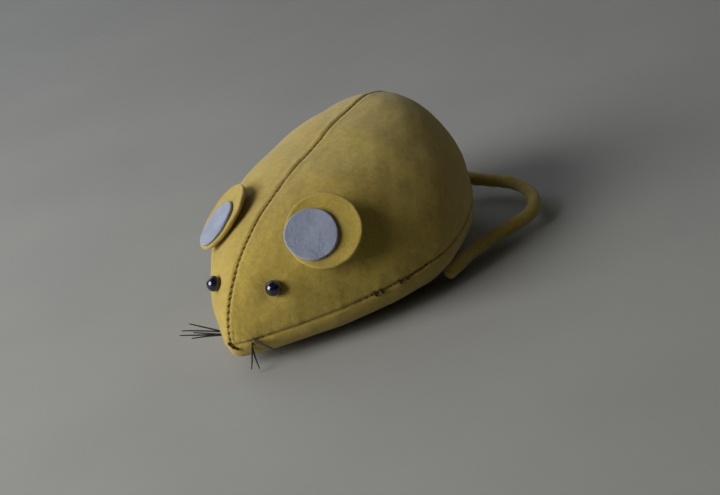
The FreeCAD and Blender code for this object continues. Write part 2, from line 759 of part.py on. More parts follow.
def swept_tube(radius, points, stations, domed):
    """A round tube lofted along a smooth line, with domed ends if asked."""
    curve = Part.BSplineCurve()
    curve.interpolate(points)
    first = curve.FirstParameter
    last = curve.LastParameter
    rounds = [math.radians(a) for a in (78, 60, 40, 20)] if domed else []
    circles = []
    for k in range(stations + 1):
        at = first + (last - first) * k / stations
        circles.append((curve.value(at), curve.tangent(at)[0], radius))
    start, end = circles[0], circles[-1]
    for angle in reversed(rounds):
        out = radius * math.sin(angle)
        narrow = radius * math.cos(angle)
        circles.insert(0, (start[0] - start[1] * out, start[1], narrow))
        circles.append((end[0] + end[1] * out, end[1], narrow))
    wires = [Part.Wire(Part.makeCircle(r, centre, tangent)) for centre, tangent, r in circles]
    return Part.makeLoft(wires, True, False), curve


def make_tail():
    """The felt tube is closed round its wire core."""
    tube, curve = swept_tube(TAIL_R, TAIL_LINE, TAIL_STATIONS, True)
    wire, _ = swept_tube(TAIL_WIRE_R, TAIL_LINE, TAIL_STATIONS, False)
    save("tail_core_wire", wire)
    save("tail_felt", tube.cut(wire))
    print("tail length", round(curve.length() + 2 * TAIL_R, 1))
    root = TAIL_LINE[0]
    inside = V(0, BODY_LENGTH / 2 - FELT, root.z)
    shank = root.y - TAIL_R - TAIL_SHANK_GAP - inside.y
    save("tail_shank_thread", Part.makeCylinder(TAIL_SHANK_R, shank, inside, Y_AXIS))


# Stitching


def stitch_ring(station, angle, along):
    outward = body_normal(station, angle)
    centre = body_point(station, angle) - outward * STITCH_DEPTH
    return Part.makeTorus(STITCH_RING_R, STITCH_R, centre, along)


def spaced_stations(place, first, last):
    """Stations at equal steps of length along a seam, which place() gives."""
    steps = 400
    stations = [first + (last - first) * k / steps for k in range(steps + 1)]
    chosen = []
    travelled = 0.0
    for before, after in zip(stations, stations[1:]):
        travelled += (place(after) - place(before)).Length
        if travelled >= STITCH_PITCH:
            chosen.append(after)
            travelled = 0.0
    return chosen


def make_seams():
    top = math.pi / 2
    rings = []
    for station in spaced_stations(lambda s: body_point(s, top), 0.004, 0.985):
        along = body_point(station + 1e-3, top) - body_point(station - 1e-3, top)
        rings.append(stitch_ring(station, top, along))
    save("back_seam_thread", *rings)

    def seam_place(station):
        return body_point(station, base_seam_angle(station))

    key_point, _ = key_exit()
    eyelet_room = EYELET_R[2] + 2 * STITCH_RING_R
    rings = []
    for station in spaced_stations(seam_place, 0.02, 0.98):
        along = seam_place(station + 1e-3) - seam_place(station - 1e-3)
        left = stitch_ring(station, base_seam_angle(station), along)
        rings.append(left)
        if (mirrored(seam_place(station)) - key_point).Length > eyelet_room:
            rings.append(mirror(left))
    save("base_seam_thread", *rings)


def make_body(rivets):
    outer = body_solid(0.0, BELLY_FLAT)
    inner = body_solid(FELT, BELLY_FLAT + FELT)
    shell = outer.cut(inner)
    eye_room = make_eyes()
    tunnel, well, seat = make_guide()
    upper = above_base_seam()
    for tool in [motor_room(0, 0), tunnel, seat, well] + eye_room:
        shell = shell.cut(tool)
    left = shell.common(upper).common(box((0, 60), (-60, 60), (0, 80)))
    right = shell.common(upper).common(box((-60, 0), (-60, 60), (0, 80)))
    base = shell.cut(upper)
    for rivet in rivets:
        base = base.cut(rivet)
    save("left_side_panel", left)
    save("right_side_panel", right)
    save("base_panel", base)
    cover = make_cover(inner)
    for rivet in rivets:
        cover = cover.cut(rivet)
    save("motor_cover", cover)
    stuffing = body_solid(FELT + CLEARANCE, BELLY_FLAT + FELT + CLEARANCE)
    rivet_top = BELLY_FLAT + FELT + COVER_WALL + COVER_RIVET_HEAD[1]
    flange_room = flanges(0.1, (0, rivet_top + 0.1))
    for tool in [motor_room(COVER_WALL + CLEARANCE, 0), flange_room, tunnel, well] + eye_room:
        stuffing = stuffing.cut(tool)
    save("wool_stuffing", stuffing)


def main():
    os.makedirs("parts", exist_ok=True)
    make_gears()
    make_ratchet()
    make_mainspring()
    make_arbors()
    make_frame()
    rivets = make_base_plate()
    make_wheels()
    make_key()
    make_body(rivets)
    make_whiskers()
    make_nose_stitch()
    make_ears()
    make_tail()
    make_seams()


main()
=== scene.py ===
"""The looks of a felt clockwork mouse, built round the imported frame.

Shapes are worked out in millimetres, as the part is, and written to meshes in metres.
The nose points to -Y, the mouse's left is +X and up is +Z.
"""

import json
import math

import bpy
import numpy as np
from mathutils import Matrix, Vector


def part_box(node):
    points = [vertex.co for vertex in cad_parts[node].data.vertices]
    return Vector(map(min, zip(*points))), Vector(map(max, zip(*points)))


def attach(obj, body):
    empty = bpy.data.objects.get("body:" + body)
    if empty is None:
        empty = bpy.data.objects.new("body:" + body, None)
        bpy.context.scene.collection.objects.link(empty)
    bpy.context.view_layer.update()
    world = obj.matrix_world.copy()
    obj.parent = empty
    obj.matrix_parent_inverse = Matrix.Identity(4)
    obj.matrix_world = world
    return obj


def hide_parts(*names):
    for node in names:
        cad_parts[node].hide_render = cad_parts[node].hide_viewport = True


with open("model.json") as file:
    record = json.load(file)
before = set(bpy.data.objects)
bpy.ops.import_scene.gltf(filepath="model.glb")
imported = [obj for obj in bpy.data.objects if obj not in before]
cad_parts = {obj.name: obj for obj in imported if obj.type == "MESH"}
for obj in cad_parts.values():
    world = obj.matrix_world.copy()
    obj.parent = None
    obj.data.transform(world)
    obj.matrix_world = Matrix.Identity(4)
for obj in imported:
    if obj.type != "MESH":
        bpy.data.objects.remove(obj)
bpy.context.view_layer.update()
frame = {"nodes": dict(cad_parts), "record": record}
nodes = frame["nodes"]
MM = 0.001
MIRROR = np.array([-1, 1, 1])
WELD_REACH = 2e-6

# Random seeds, one for each thing that varies by hand
SEEDS = {
    "back_stitches": 11,
    "base_stitches": 12,
    "hand_stitches": 13,
    "back_groove": 20,
    "side_base_groove": 30,
    "base_groove": 40,
    "left_whiskers": 61,
    "right_whiskers": 62,
    "ear_felt": 70,
    "ear_pale_felt": 80,
    "tail_lumps": 90,
    "tail_fine_lumps": 91,
}

# Body, the same as the part's
BODY_LENGTH = 96.0
FELT = 1.4
HALF_WIDTHS = (14.0, 29.5, 36.5, 37.2, 37.4)
CROWN_HEIGHTS = (26.5, 28.6, 28.5, 32.5, 42.0)
WIDEST_AT_NOSE = 8
WIDEST_RISE = 14
SNOUT_FULLNESS = 0.2
RUMP_FULLNESS = 0.12
CROWN_POWER = 1.8
BELLY_POWER = 2.3
BELLY_POWER_RISE = 0.6
BELLY_LOWEST = 0.4
BELLY_FLAT = 1.8
BELLY_EDGE = 0.35
SEAM_AT_NOSE = 8.0
SEAM_AT_RUMP = 15.0
LUMP_WAVES = 14

# Cloth simulation of the stuffed skin, in units of SKIN_UNIT millimetres. The pins hold the points
# within PIN_COLUMNS of the base seam, on the back seam, and up to PIN_HEIGHT over the flat belly
SKIN_ROWS = 60
SKIN_COLUMNS = 96
SKIN_POINTS = SKIN_ROWS * SKIN_COLUMNS
SKIN_UNIT = 40.0
SKIN_FRAMES = 20
PIN_COLUMNS = 0.55
PIN_BACK = 1e-3
PIN_HEIGHT = 0.6
PUFF_LEAST = -0.4
PUFF_MOST = 1.3
PUFF_SMOOTHINGS = 3

# Panels. Openings are a half width, a front and a rear, cut for the tin base plate
PANEL_ROWS = 330
PANEL_COLUMNS = 120
BASE_COLUMNS = 150
ROW_EVENNESS = 0.4
SIDE_EVENNESS = 0.35
BASE_EVENNESS = 0.5
PUFF_BACK = 0.35
SURFACE_LUMPS = ((0.22, 17.0, 3), (0.06, 6.0, 4), (0.02, 2.4, 5))
PANEL_GAP = 0.02
REST_FADE = 3.0
OPENINGS = ((18.4, -11.4, 11.2), (13.4, -11.4, 38.0))
OPENING_HEIGHT = 1.0
KEY_FLAT_R = 7.0
EYELET_CUT = 3.5

# How the felt turns in beside a seam, and how much shade is painted there
BACK_GATHER = 1.0
BASE_GATHER = 0.3
BACK_PAINTED_SHADE = 0.5
BASE_PAINTED_SHADE = 0.3
PAINTED_SHADE_WIDTH = 0.35
GROOVE_DEPTH = 0.45
GROOVE_WIDTH = 0.4
GROOVE_SPREAD = 1.15
GROOVE_PINCH = 0.25
GROOVE_WANDER = 0.12
WANDER_SIZE = 9.0
SHOULDER_RISE = 0.13
SHOULDER_AT = 1.3
SHOULDER_WIDTH = 0.7
SHOULDER_PINCH = 0.6
HOLE_DEPTH = 0.16
HOLE_WIDTH = 0.35
RIPPLE_RISE = 0.08
RIPPLE_SIZE = 3.2
RIPPLE_FADE = 3.5

# Stitches: each seam's stitches have their own rise, and each hand stitch is placed by its Y
STITCH_PITCH = 1.75
STITCH_REACH = 0.55
STITCH_SLANT = 0.45
STITCH_SHIFT = 0.12
STITCH_POINTS = 9
STITCH_DIVE = 0.30
STITCH_ARCH = (-0.50, 0.52, 1.25)
THREAD_R = 0.17
THREAD_SIDES = 8
BACK_STITCH_RISE = -0.30
BASE_STITCH_RISE = -0.95
SEAM_STATIONS = 900
HAND_STITCHES = (-20.6, -19.1, -14.3, -12.4)
HAND_STITCH_SLANT = 0.35
HAND_STITCH_POINTS = 11
HAND_STITCH_ARCH = (-0.80, 0.75, 1.3)
HAND_THREAD_R = 0.30
HAND_THREAD_SIDES = 10

# Face: places are a station and an angle of the body surface
BEAD_R = 2.1
BEAD_PROUD = 0.5
BEAD_BORE_R = 0.28
BEAD_BORE_STEP = 0.82
BEAD_BORE_RINGS = 6
BEAD_SIDES = 96
BEAD_RINGS = 48
BEAD_PLACES = {1: (0.113, 0.739), -1: (0.0995, 2.326)}
BEAD_DENT_R = 3.2
BEAD_DENT = 1.1
NOSE_STITCH_START = (-0.5, -47.9, 8.7)
NOSE_STITCH_SPAN = (2.47, 0.49, -1.93)
NOSE_STITCH_BOW = (0, -0.35, -0.1)
NOSE_STITCH_POINTS = 20
NOSE_THREAD_R = 0.33
NOSE_THREAD_SIDES = 12
NOSE_THREAD_TWIST = 0.05
NOSE_THREAD_TURNS = 14

# Whiskers: each thread's place on the body surface, then its free end seen from there
WHISKER_R = 0.2
WHISKER_ROOT = 1.2
WHISKER_POINTS = 24
WHISKER_SIDES = 10
WHISKER_TAPER = 0.35
LEFT_WHISKERS = (
    (0.0255, -0.254, (-0.1, -2.4, -5.3)),
    (0.0270, -0.470, (1.9, -1.5, -4.4)),
    (0.0340, 0.050, (5.9, -0.5, -1.9)),
    (0.0370, -0.075, (7.1, 0.4, -2.5)),
    (0.0400, -0.200, (5.7, 0.8, -2.2)),
)
RIGHT_WHISKERS = (
    (0.0540, 3.110, (-6.1, -3.6, 3.5)),
    (0.0530, 3.130, (-8.0, -5.1, 2.3)),
    (0.0450, 3.150, (-5.8, -3.4, 1.8)),
    (0.0440, 3.165, (-8.3, -5.9, 2.3)),
    (0.0425, 3.185, (-5.7, -4.6, 1.1)),
)

# Ears: the pale disc's face centre and outward direction, then the yellow disc's shift from it
EAR_R = 10.0
EAR_FELT = 1.2
EAR_INNER_R = 6.9
EAR_INNER_FELT = 1.0
EARS = {
    "left": ((17.17, -26.03, 29.79), (0.475, -0.58, 0.66), (2.30, 2.25, 0.32)),
    "right": ((-15.38, -25.61, 30.48), (-0.44, -0.46, 0.774), (-0.24, 2.44, 1.31)),
}
EAR_CUP = 0.5
EAR_GLUE = 0.02
DISC_SIDES = 200
DISC_RINGS = 26
DISC_EDGE_RINGS = 9
DISC_EDGE_FROM = 0.94
DISC_EDGE = 0.06
DISC_EDGE_MARGIN = 0.35
DISC_LUMPS = 0.07
DISC_LUMP_SIZE = 5.0
DISC_WAVES = (2, 3, 5, 8, 13)

# Tail
TAIL_R = 1.9
TAIL_ROUND = 0.97
TAIL_ROWS = 360
TAIL_SIDES = 64
TAIL_DOME = (12, 26, 40, 54, 66, 78, 86)
TAIL_SEAM_AT = 2.4
TAIL_SEAM_SWING = 0.9
TAIL_SEAM_ROWS = 70
TAIL_STEP, TAIL_STEP_WIDTH = 0.30, 0.10
TAIL_HOLLOW, TAIL_HOLLOW_AT, TAIL_HOLLOW_WIDTH = 0.16, 0.35, 0.25
TAIL_LUMPS, TAIL_LUMP_SIZE = 0.10, 7.0
TAIL_FINE_LUMPS, TAIL_FINE_LUMP_SIZE = 0.05, 2.6
TAIL_LINE = (
    (0, 50.2, 12.9),
    (1.6, 51.6, 11.8),
    (4.4, 52.6, 9.6),
    (8.6, 53.0, 7.3),
    (13.6, 53.4, 5.9),
    (19.8, 54.2, 5.2),
    (26.4, 53.6, 5.0),
    (33.0, 50.3, 5.0),
    (38.6, 44.4, 5.0),
    (41.3, 37.2, 4.8),
    (40.0, 30.6, 4.5),
    (37.6, 23.8, 4.3),
    (35.9, 16.6, 4.2),
    (35.2, 9.6, 4.2),
    (35.0, 3.2, 4.2),
)

# Colours shared by looks
WHITE = (1.0, 1.0, 1.0)
YELLOW = (0.475, 0.362, 0.074)
# Painted shade: the dark colour the felt is mixed towards in its seams
YELLOW_SEAM_SHADE = (0.120, 0.070, 0.008)
FELT_SHEEN = 0.40

# Floor, lights and camera. A light has its direction, distance, size, power and colour
FLOOR_HALF = 2.5
WORLD_COLOUR = (1.0, 0.86, 0.56, 1.0)
WORLD_STRENGTH = 0.02
LIGHT_TARGET = (0, 0, 0.02)
LIGHTS = {
    "window": ((-0.36, -0.64, 0.36), 0.70, 0.46, 6.0, (1.0, 0.965, 0.92)),
    "sky": ((-0.80, 0.20, 0.75), 1.0, 0.90, 1.3, (0.84, 0.92, 1.0)),
    "side": ((-0.93, 0.22, 0.40), 1.0, 0.80, 1.7, (0.90, 0.95, 1.0)),
    "room": ((0.30, 0.75, 0.60), 1.0, 1.20, 0.8, (1.0, 0.95, 0.86)),
}
CAMERA_PLACE = (0.232225, -0.258276, 0.169588)
CAMERA_AZIMUTH = 40.8134
CAMERA_ELEVATION = 24.9072
CAMERA_ROLL = 14.9687
CAMERA_LENS = 68.862
CAMERA_NEAR = 0.01
CAMERA_FAR = 20
SENSOR_WIDTH = 36.0


# Procedural materials


class Look:
    """Short names for building one node material."""

    def __init__(self, name):
        self.material = bpy.data.materials.new(name)
        self.material.use_nodes = True
        self.tree = self.material.node_tree
        self.shader = self.tree.nodes["Principled BSDF"]
        self.place = self.add("ShaderNodeTexCoord").outputs["Object"]

    def add(self, kind, **sockets):
        node = self.tree.nodes.new(kind)
        for name, value in sockets.items():
            self.put(node.inputs[name.replace("_", " ")], value)
        return node

    def put(self, socket, value):
        if isinstance(value, bpy.types.NodeSocket):
            self.tree.links.new(value, socket)
        else:
            socket.default_value = value

    def noise(self, size, detail=3.0, distortion=0.0, stretch=(1, 1, 1)):
        """Noise whose lumps are about size millimetres across."""
        place = self.place
        if stretch != (1, 1, 1):
            place = self.add("ShaderNodeMapping", Vector=place, Scale=stretch).outputs[0]
        node = self.add("ShaderNodeTexNoise", Vector=place, Scale=1000.0 / size)
        self.put(node.inputs["Detail"], detail)
        self.put(node.inputs["Distortion"], distortion)
        return node.outputs["Fac"]

    def ramp(self, value, *stops):
        """Colours at places along a value. A colour of one number is a grey."""
        node = self.add("ShaderNodeValToRGB", Fac=value)
        elements = node.color_ramp.elements
        while len(elements) < len(stops):
            elements.new(0.5)
        for element, (at, colour) in zip(elements, stops):
            element.position = at
            element.color = (*(colour if len(colour) == 3 else colour * 3), 1.0)
        return node.outputs["Color"]

    def mix(self, share, first, second, blend="MIX"):
        node = self.add("ShaderNodeMix")
        node.data_type = "RGBA"
        node.blend_type = blend
        for socket, value in ((0, share), (6, first), (7, second)):
            self.put(node.inputs[socket], value)
        return node.outputs[2]

    def bump(self, height, depth, strength=1.0, under=None):
        """A bump of so many millimetres over the one under it."""
        node = self.add("ShaderNodeBump", Height=height, Distance=depth * MM, Strength=strength)
        if under is not None:
            self.put(node.inputs["Normal"], under)
        return node.outputs["Normal"]

    def finish(self, **sockets):
        for name, value in sockets.items():
            self.put(self.shader.inputs[name.replace("_", " ")], value)
        return self.material


def shade(colour, factor):
    return tuple(min(1.0, c * factor) for c in colour)


def felt_look(name, colour, shade_colour, sheen):
    """Pressed wool felt: mottled, with a soft nap, and with shade painted where it turns into a
    seam.
    """
    look = Look(name)
    patches = look.noise(7.0, 2.0, 0.4)
    clumps = look.noise(1.3, 4.0, 0.8)
    fibres = look.noise(0.42, 5.0, 2.2, (1, 2.2, 0.8))
    cross_fibres = look.noise(0.5, 5.0, 2.6, (2.4, 0.8, 1.3))
    base = look.ramp(patches, (0.34, shade(colour, 0.95)), (0.66, shade(colour, 1.05)))
    spots = look.ramp(
        clumps, (0.36, (0.86, 0.84, 0.80)), (0.58, WHITE), (0.76, (1.08, 1.08, 1.14))
    )
    strands = look.ramp(fibres, (0.36, (0.72, 0.70, 0.66)), (0.62, (1.11, 1.11, 1.16)))
    coloured = look.mix(0.8, base, spots, "MULTIPLY")
    coloured = look.mix(0.75, coloured, strands, "MULTIPLY")
    # Painted shade: beside each seam the felt colour is mixed towards the dark shade colour
    seam = look.add("ShaderNodeAttribute")
    seam.attribute_name = "painted_seam_shade"
    coloured = look.mix(seam.outputs["Fac"], coloured, (*shade_colour, 1.0))
    relief = look.bump(clumps, 0.16, 0.6)
    relief = look.bump(cross_fibres, 0.12, 0.7, relief)
    relief = look.bump(fibres, 0.12, 0.8, relief)
    rough = look.ramp(clumps, (0.3, (0.86,)), (0.7, (0.98,)))
    return look.finish(
        Base_Color=coloured, Roughness=rough, Normal=relief, Specular_IOR_Level=0.12,
        Sheen_Weight=sheen, Sheen_Roughness=0.5, Sheen_Tint=(0.95, 0.93, 0.84, 1.0),
    )


def pale_felt_look():
    """The ears' bluish white felt, glued down and so a little flatter."""
    look = Look("pale_felt")
    patches = look.noise(4.0, 2.0, 0.3)
    clumps = look.noise(1.0, 4.0, 0.9)
    fibres = look.noise(0.38, 5.0, 2.4, (0.9, 2.0, 1.0))
    base = look.ramp(patches, (0.36, (0.27, 0.31, 0.425)), (0.64, (0.32, 0.365, 0.49)))
    strands = look.ramp(fibres, (0.34, (0.86, 0.87, 0.88)), (0.64, (1.06, 1.06, 1.05)))
    coloured = look.mix(0.8, base, strands, "MULTIPLY")
    relief = look.bump(clumps, 0.26, 0.6)
    relief = look.bump(fibres, 0.12, 0.8, relief)
    rough = look.ramp(clumps, (0.3, (0.88,)), (0.7, (0.98,)))
    return look.finish(
        Base_Color=coloured, Roughness=rough, Normal=relief, Specular_IOR_Level=0.12,
        Sheen_Weight=0.25, Sheen_Roughness=0.4,
    )


def wool_look():
    """Loose stuffing, in tufts."""
    look = Look("wool")
    tufts = look.noise(2.4, 6.0, 3.0)
    strands = look.noise(0.6, 6.0, 4.0)
    base = look.ramp(tufts, (0.3, (0.52, 0.47, 0.38)), (0.7, (0.78, 0.74, 0.65)))
    relief = look.bump(strands, 0.4, 1.0, look.bump(tufts, 0.9, 1.0))
    rough = look.ramp(strands, (0.3, (0.90,)), (0.7, (1.0,)))
    return look.finish(Base_Color=base, Roughness=rough, Normal=relief, Sheen_Weight=0.3)


def thread_look(name, dark, light, gloss):
    """Twisted thread: plies as slanting light and dark bands, with stray fibres."""
    look = Look(name)
    wave = look.add("ShaderNodeTexWave", Scale=900.0, Distortion=1.5, Detail=2.0, Vector=look.place)
    wave.bands_direction = "DIAGONAL"
    fuzz = look.noise(0.3, 4.0, 1.0)
    plies = look.ramp(wave.outputs["Fac"], (0.15, dark), (0.75, light))
    base = look.mix(0.4, plies, look.ramp(fuzz, (0.3, dark), (0.7, light)))
    relief = look.bump(fuzz, 0.03, 0.5, look.bump(wave.outputs["Fac"], 0.05, 0.6))
    rough = look.ramp(fuzz, (0.3, (gloss,)), (0.7, (min(1.0, gloss + 0.2),)))
    return look.finish(
        Base_Color=base, Roughness=rough, Normal=relief, Specular_IOR_Level=0.3, Sheen_Weight=0.1
    )


def glass_look():
    """Opaque pressed glass: nearly black blue, with faint swirls and a polished skin."""
    look = Look("blue_glass")
    swirls = look.noise(1.6, 3.0, 2.0)
    dust = look.noise(0.25, 4.0)
    base = look.ramp(swirls, (0.3, (0.003, 0.004, 0.012)), (0.7, (0.008, 0.013, 0.045)))
    rough = look.ramp(dust, (0.45, (0.05,)), (0.75, (0.16,)))
    relief = look.bump(swirls, 0.02, 0.3)
    return look.finish(
        Base_Color=base, Roughness=rough, Normal=relief, IOR=1.52,
        Coat_Weight=0.6, Coat_Roughness=0.04,
    )


def metal_look(name, dark, light, gloss, grain):
    """Worked metal: drawn or rolled grain, scuffs and cloudy tarnish."""
    look = Look(name)
    clouds = look.noise(5.0, 4.0, 0.6)
    grains = look.noise(0.35, 4.0, 0.0, grain)
    scuffs = look.noise(0.9, 6.0, 3.0)
    base = look.ramp(clouds, (0.4, light), (0.7, dark))
    lines = look.ramp(grains, (0.35, (0.82, 0.82, 0.82)), (0.65, WHITE))
    base = look.mix(0.5, base, lines, "MULTIPLY")
    rough = look.ramp(scuffs, (0.35, (gloss,)), (0.7, (min(1.0, gloss + 0.25),)))
    relief = look.bump(scuffs, 0.012, 0.5, look.bump(grains, 0.01, 0.5))
    return look.finish(Base_Color=base, Roughness=rough, Normal=relief, Metallic=1.0)


def rubber_look():
    """Dusty black rubber."""
    look = Look("black_rubber")
    dust = look.noise(1.8, 5.0, 1.0)
    grain = look.noise(0.3, 4.0)
    base = look.ramp(dust, (0.4, (0.016, 0.016, 0.017)), (0.75, (0.060, 0.057, 0.052)))
    rough = look.ramp(grain, (0.3, (0.55,)), (0.7, (0.78,)))
    return look.finish(Base_Color=base, Roughness=rough, Normal=look.bump(grain, 0.05, 0.7))


def wood_look():
    """Plain turned wood, with rings and open pores."""
    look = Look("turned_wood")
    rings = look.add("ShaderNodeTexWave", Scale=260.0, Distortion=3.0, Detail=3.0)
    look.put(rings.inputs["Vector"], look.place)
    pores = look.noise(0.4, 4.0, 0.0, (0.2, 2.0, 2.0))
    base = look.ramp(rings.outputs["Fac"], (0.2, (0.33, 0.19, 0.085)), (0.8, (0.50, 0.32, 0.16)))
    specks = look.ramp(pores, (0.3, (0.6, 0.55, 0.5)), (0.5, WHITE))
    base = look.mix(0.5, base, specks, "MULTIPLY")
    rough = look.ramp(pores, (0.3, (0.62,)), (0.7, (0.45,)))
    return look.finish(Base_Color=base, Roughness=rough, Normal=look.bump(pores, 0.05, 0.5))


looks = {
    "yellow_felt": felt_look("yellow_felt", YELLOW, YELLOW_SEAM_SHADE, FELT_SHEEN),
    "pale_felt": pale_felt_look(),
    "wool": wool_look(),
    "ochre_thread": thread_look("ochre_thread", (0.055, 0.032, 0.005), (0.19, 0.125, 0.024), 0.7),
    "black_thread": thread_look("black_thread", (0.004, 0.004, 0.005), (0.020, 0.020, 0.023), 0.45),
    "brown_thread": thread_look("brown_thread", (0.012, 0.008, 0.003), (0.045, 0.030, 0.010), 0.6),
    "blue_glass": glass_look(),
    "tin_plate": metal_look("tin_plate", (0.42, 0.41, 0.39), (0.66, 0.66, 0.65), 0.30, (1, 12, 1)),
    "steel": metal_look("steel", (0.36, 0.36, 0.37), (0.56, 0.56, 0.57), 0.26, (10, 1, 1)),
    "spring_steel": metal_look(
        "spring_steel", (0.10, 0.13, 0.22), (0.24, 0.28, 0.38), 0.22, (12, 1, 1)
    ),
    "brass": metal_look("brass", (0.42, 0.27, 0.09), (0.76, 0.56, 0.25), 0.24, (1, 8, 8)),
    "black_rubber": rubber_look(),
    "turned_wood": wood_look(),
}


# Body surface: the station runs from 0 at the nose to 1 at the rump, and the angle goes round
# from the mouse's left


def through(values, station):
    """The smooth curve through values at equal steps of the station."""
    steps = np.linspace(0, 1, len(values))
    total = 0.0
    for i, value in enumerate(values):
        share = value
        for j, step in enumerate(steps):
            if j != i:
                share = share * (station - step) / (steps[i] - step)
        total = total + share
    return total


def body_point(station, angle):
    """The place of the body's surface, in millimetres."""
    station, angle = np.broadcast_arrays(np.asarray(station, float), np.asarray(angle, float))
    roundness = 2 * np.sqrt(np.clip(station * (1 - station), 0, None))
    half_width = roundness * through(HALF_WIDTHS, station)
    crown = roundness * through(CROWN_HEIGHTS, station)
    widest = WIDEST_AT_NOSE - station + WIDEST_RISE * station**2
    fullness = (roundness**2) ** np.where(station < 0.5, SNOUT_FULLNESS, RUMP_FULLNESS)
    belly = (widest - BELLY_LOWEST) * fullness
    up = np.sin(angle)
    across = np.cos(angle)
    power = np.where(up > 0, CROWN_POWER, BELLY_POWER + BELLY_POWER_RISE * station)
    reach = (abs(across) ** power + abs(up) ** power) ** (-1 / power)
    height = widest + np.where(up > 0, crown, belly) * reach * up
    height = BELLY_FLAT + BELLY_EDGE * np.logaddexp(0, (height - BELLY_FLAT) / BELLY_EDGE)
    y = (station - 0.5) * BODY_LENGTH
    return np.stack([half_width * reach * across, y, height], -1)


def station_at(turn):
    """The station for a turn from 0 at the nose to pi at the rump. Even turns crowd both ends."""
    return (1 - np.cos(turn)) / 2


def unit(vectors):
    return vectors / np.maximum(np.linalg.norm(vectors, axis=-1, keepdims=True), 1e-12)


def body_normal(station, angle):
    """The outward direction, taken a little in from the ends, where sections shrink to a point."""
    margin, step = 0.02, 1e-3
    turn = np.arccos(1 - 2 * np.asarray(station, float))
    turn = np.clip(turn, margin, math.pi - margin)
    here, after, before = (station_at(t) for t in (turn, turn + step, turn - step))
    along = body_point(after, angle) - body_point(before, angle)
    around = body_point(here, angle + step) - body_point(here, angle - step)
    return unit(np.cross(along, around))


def base_seam_angle(station):
    """The section angle, on the left, where the body crosses the base seam's slanting plane."""
    highest, halvings = 1.4, 40
    station = np.asarray(station, float)
    low = np.full(station.shape, -math.pi / 2)
    high = np.full(station.shape, highest)
    target = SEAM_AT_NOSE + (SEAM_AT_RUMP - SEAM_AT_NOSE) * station
    for _ in range(halvings):
        middle = (low + high) / 2
        below = body_point(station, middle)[..., 2] < target
        low = np.where(below, middle, low)
        high = np.where(below, high, middle)
    return (low + high) / 2


def row_stations(rows):
    """Stations of the rows, closer together near the nose and the rump."""
    share = np.linspace(0, 1, rows + 1)
    eased = share * share * (3 - 2 * share)
    return station_at(math.pi * (ROW_EVENNESS * share + (1 - ROW_EVENNESS) * eased))


def mirrored(angle):
    """The angle of the same place on the body's other side."""
    return np.sign(angle + 1e-9) * math.pi - angle


def folded(angle):
    """The angle, or its mirror image where it is on the right."""
    return np.where(np.cos(angle) >= 0, angle, mirrored(angle))


# Shapes and meshes


def smooth_lumps(points, size, seed):
    """Smooth random lumps about size millimetres across, mostly within 1 of zero."""
    random = np.random.default_rng(seed)
    total = np.zeros(points.shape[:-1])
    for _ in range(LUMP_WAVES):
        direction = unit(random.normal(size=3))
        length = size * random.uniform(0.8, 1.5)
        phase = random.uniform(0, 6.3)
        total += np.sin(points @ (direction * 2 * math.pi / length) + phase)
    return total / math.sqrt(LUMP_WAVES)


def bell(distance, width):
    """1 at no distance, falling smoothly away over the width."""
    return np.exp(-((distance / width) ** 2))


def run_along(line):
    """The length along a line at each of its points."""
    return np.cumsum(np.linalg.norm(np.diff(line, axis=0, prepend=line[:1]), axis=-1))


def turns_round(count):
    """Equal angles all the way round."""
    return np.arange(count) * 2 * math.pi / count


def spokes(turn, side, other):
    """Unit steps at the turns, in the plane of two directions."""
    return np.cos(turn)[:, None] * side + np.sin(turn)[:, None] * other


def ring_faces(rings, sides, flip=False, closed=False):
    """Faces between rings of points. closed joins the last ring to the first."""
    faces = []
    for i in range(rings if closed else rings - 1):
        n = (i + 1) % rings
        for j in range(sides):
            k = (j + 1) % sides
            a, b, c, d = i * sides + j, i * sides + k, n * sides + k, n * sides + j
            faces.append((a, d, c, b) if flip else (a, b, c, d))
    return faces


def tube_faces(rings, sides):
    """Faces of a tube with both of its ends closed."""
    last = (rings - 1) * sides
    return ring_faces(rings, sides) + [tuple(range(sides))[::-1], tuple(range(last, last + sides))]


def grid_faces(rows, columns, flip):
    """Faces of a grid of points."""
    faces = []
    for i in range(rows - 1):
        for j in range(columns - 1):
            a, b = i * columns + j, i * columns + j + 1
            c, d = (i + 1) * columns + j + 1, (i + 1) * columns + j
            faces.append((a, b, c, d) if flip else (d, c, b, a))
    return faces


def new_mesh(name, points, faces, slot, body):
    """A mesh piece from points in millimetres, riding on a body."""
    mesh = bpy.data.meshes.new(name)
    vertices = [tuple(p) for p in np.asarray(points) * MM]
    mesh.from_pydata(vertices, [], [tuple(int(i) for i in f) for f in faces])
    mesh.validate()
    mesh.polygons.foreach_set("use_smooth", [True] * len(mesh.polygons))
    mesh.update()
    piece = bpy.data.objects.new(name, mesh)
    bpy.context.scene.collection.objects.link(piece)
    mesh.materials.append(looks[slot])
    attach(piece, body)
    return piece


def add_weld(piece):
    """Join the points that lie in one place, as at the nose or in the middle of a disc."""
    weld = piece.modifiers.new("weld", "WELD")
    weld.merge_threshold = WELD_REACH


def apply_modifiers(piece):
    settled = piece.evaluated_get(bpy.context.evaluated_depsgraph_get())
    finished = bpy.data.meshes.new_from_object(settled)
    piece.modifiers.clear()
    piece.data = finished


# Wool pushing the felt out between its seams


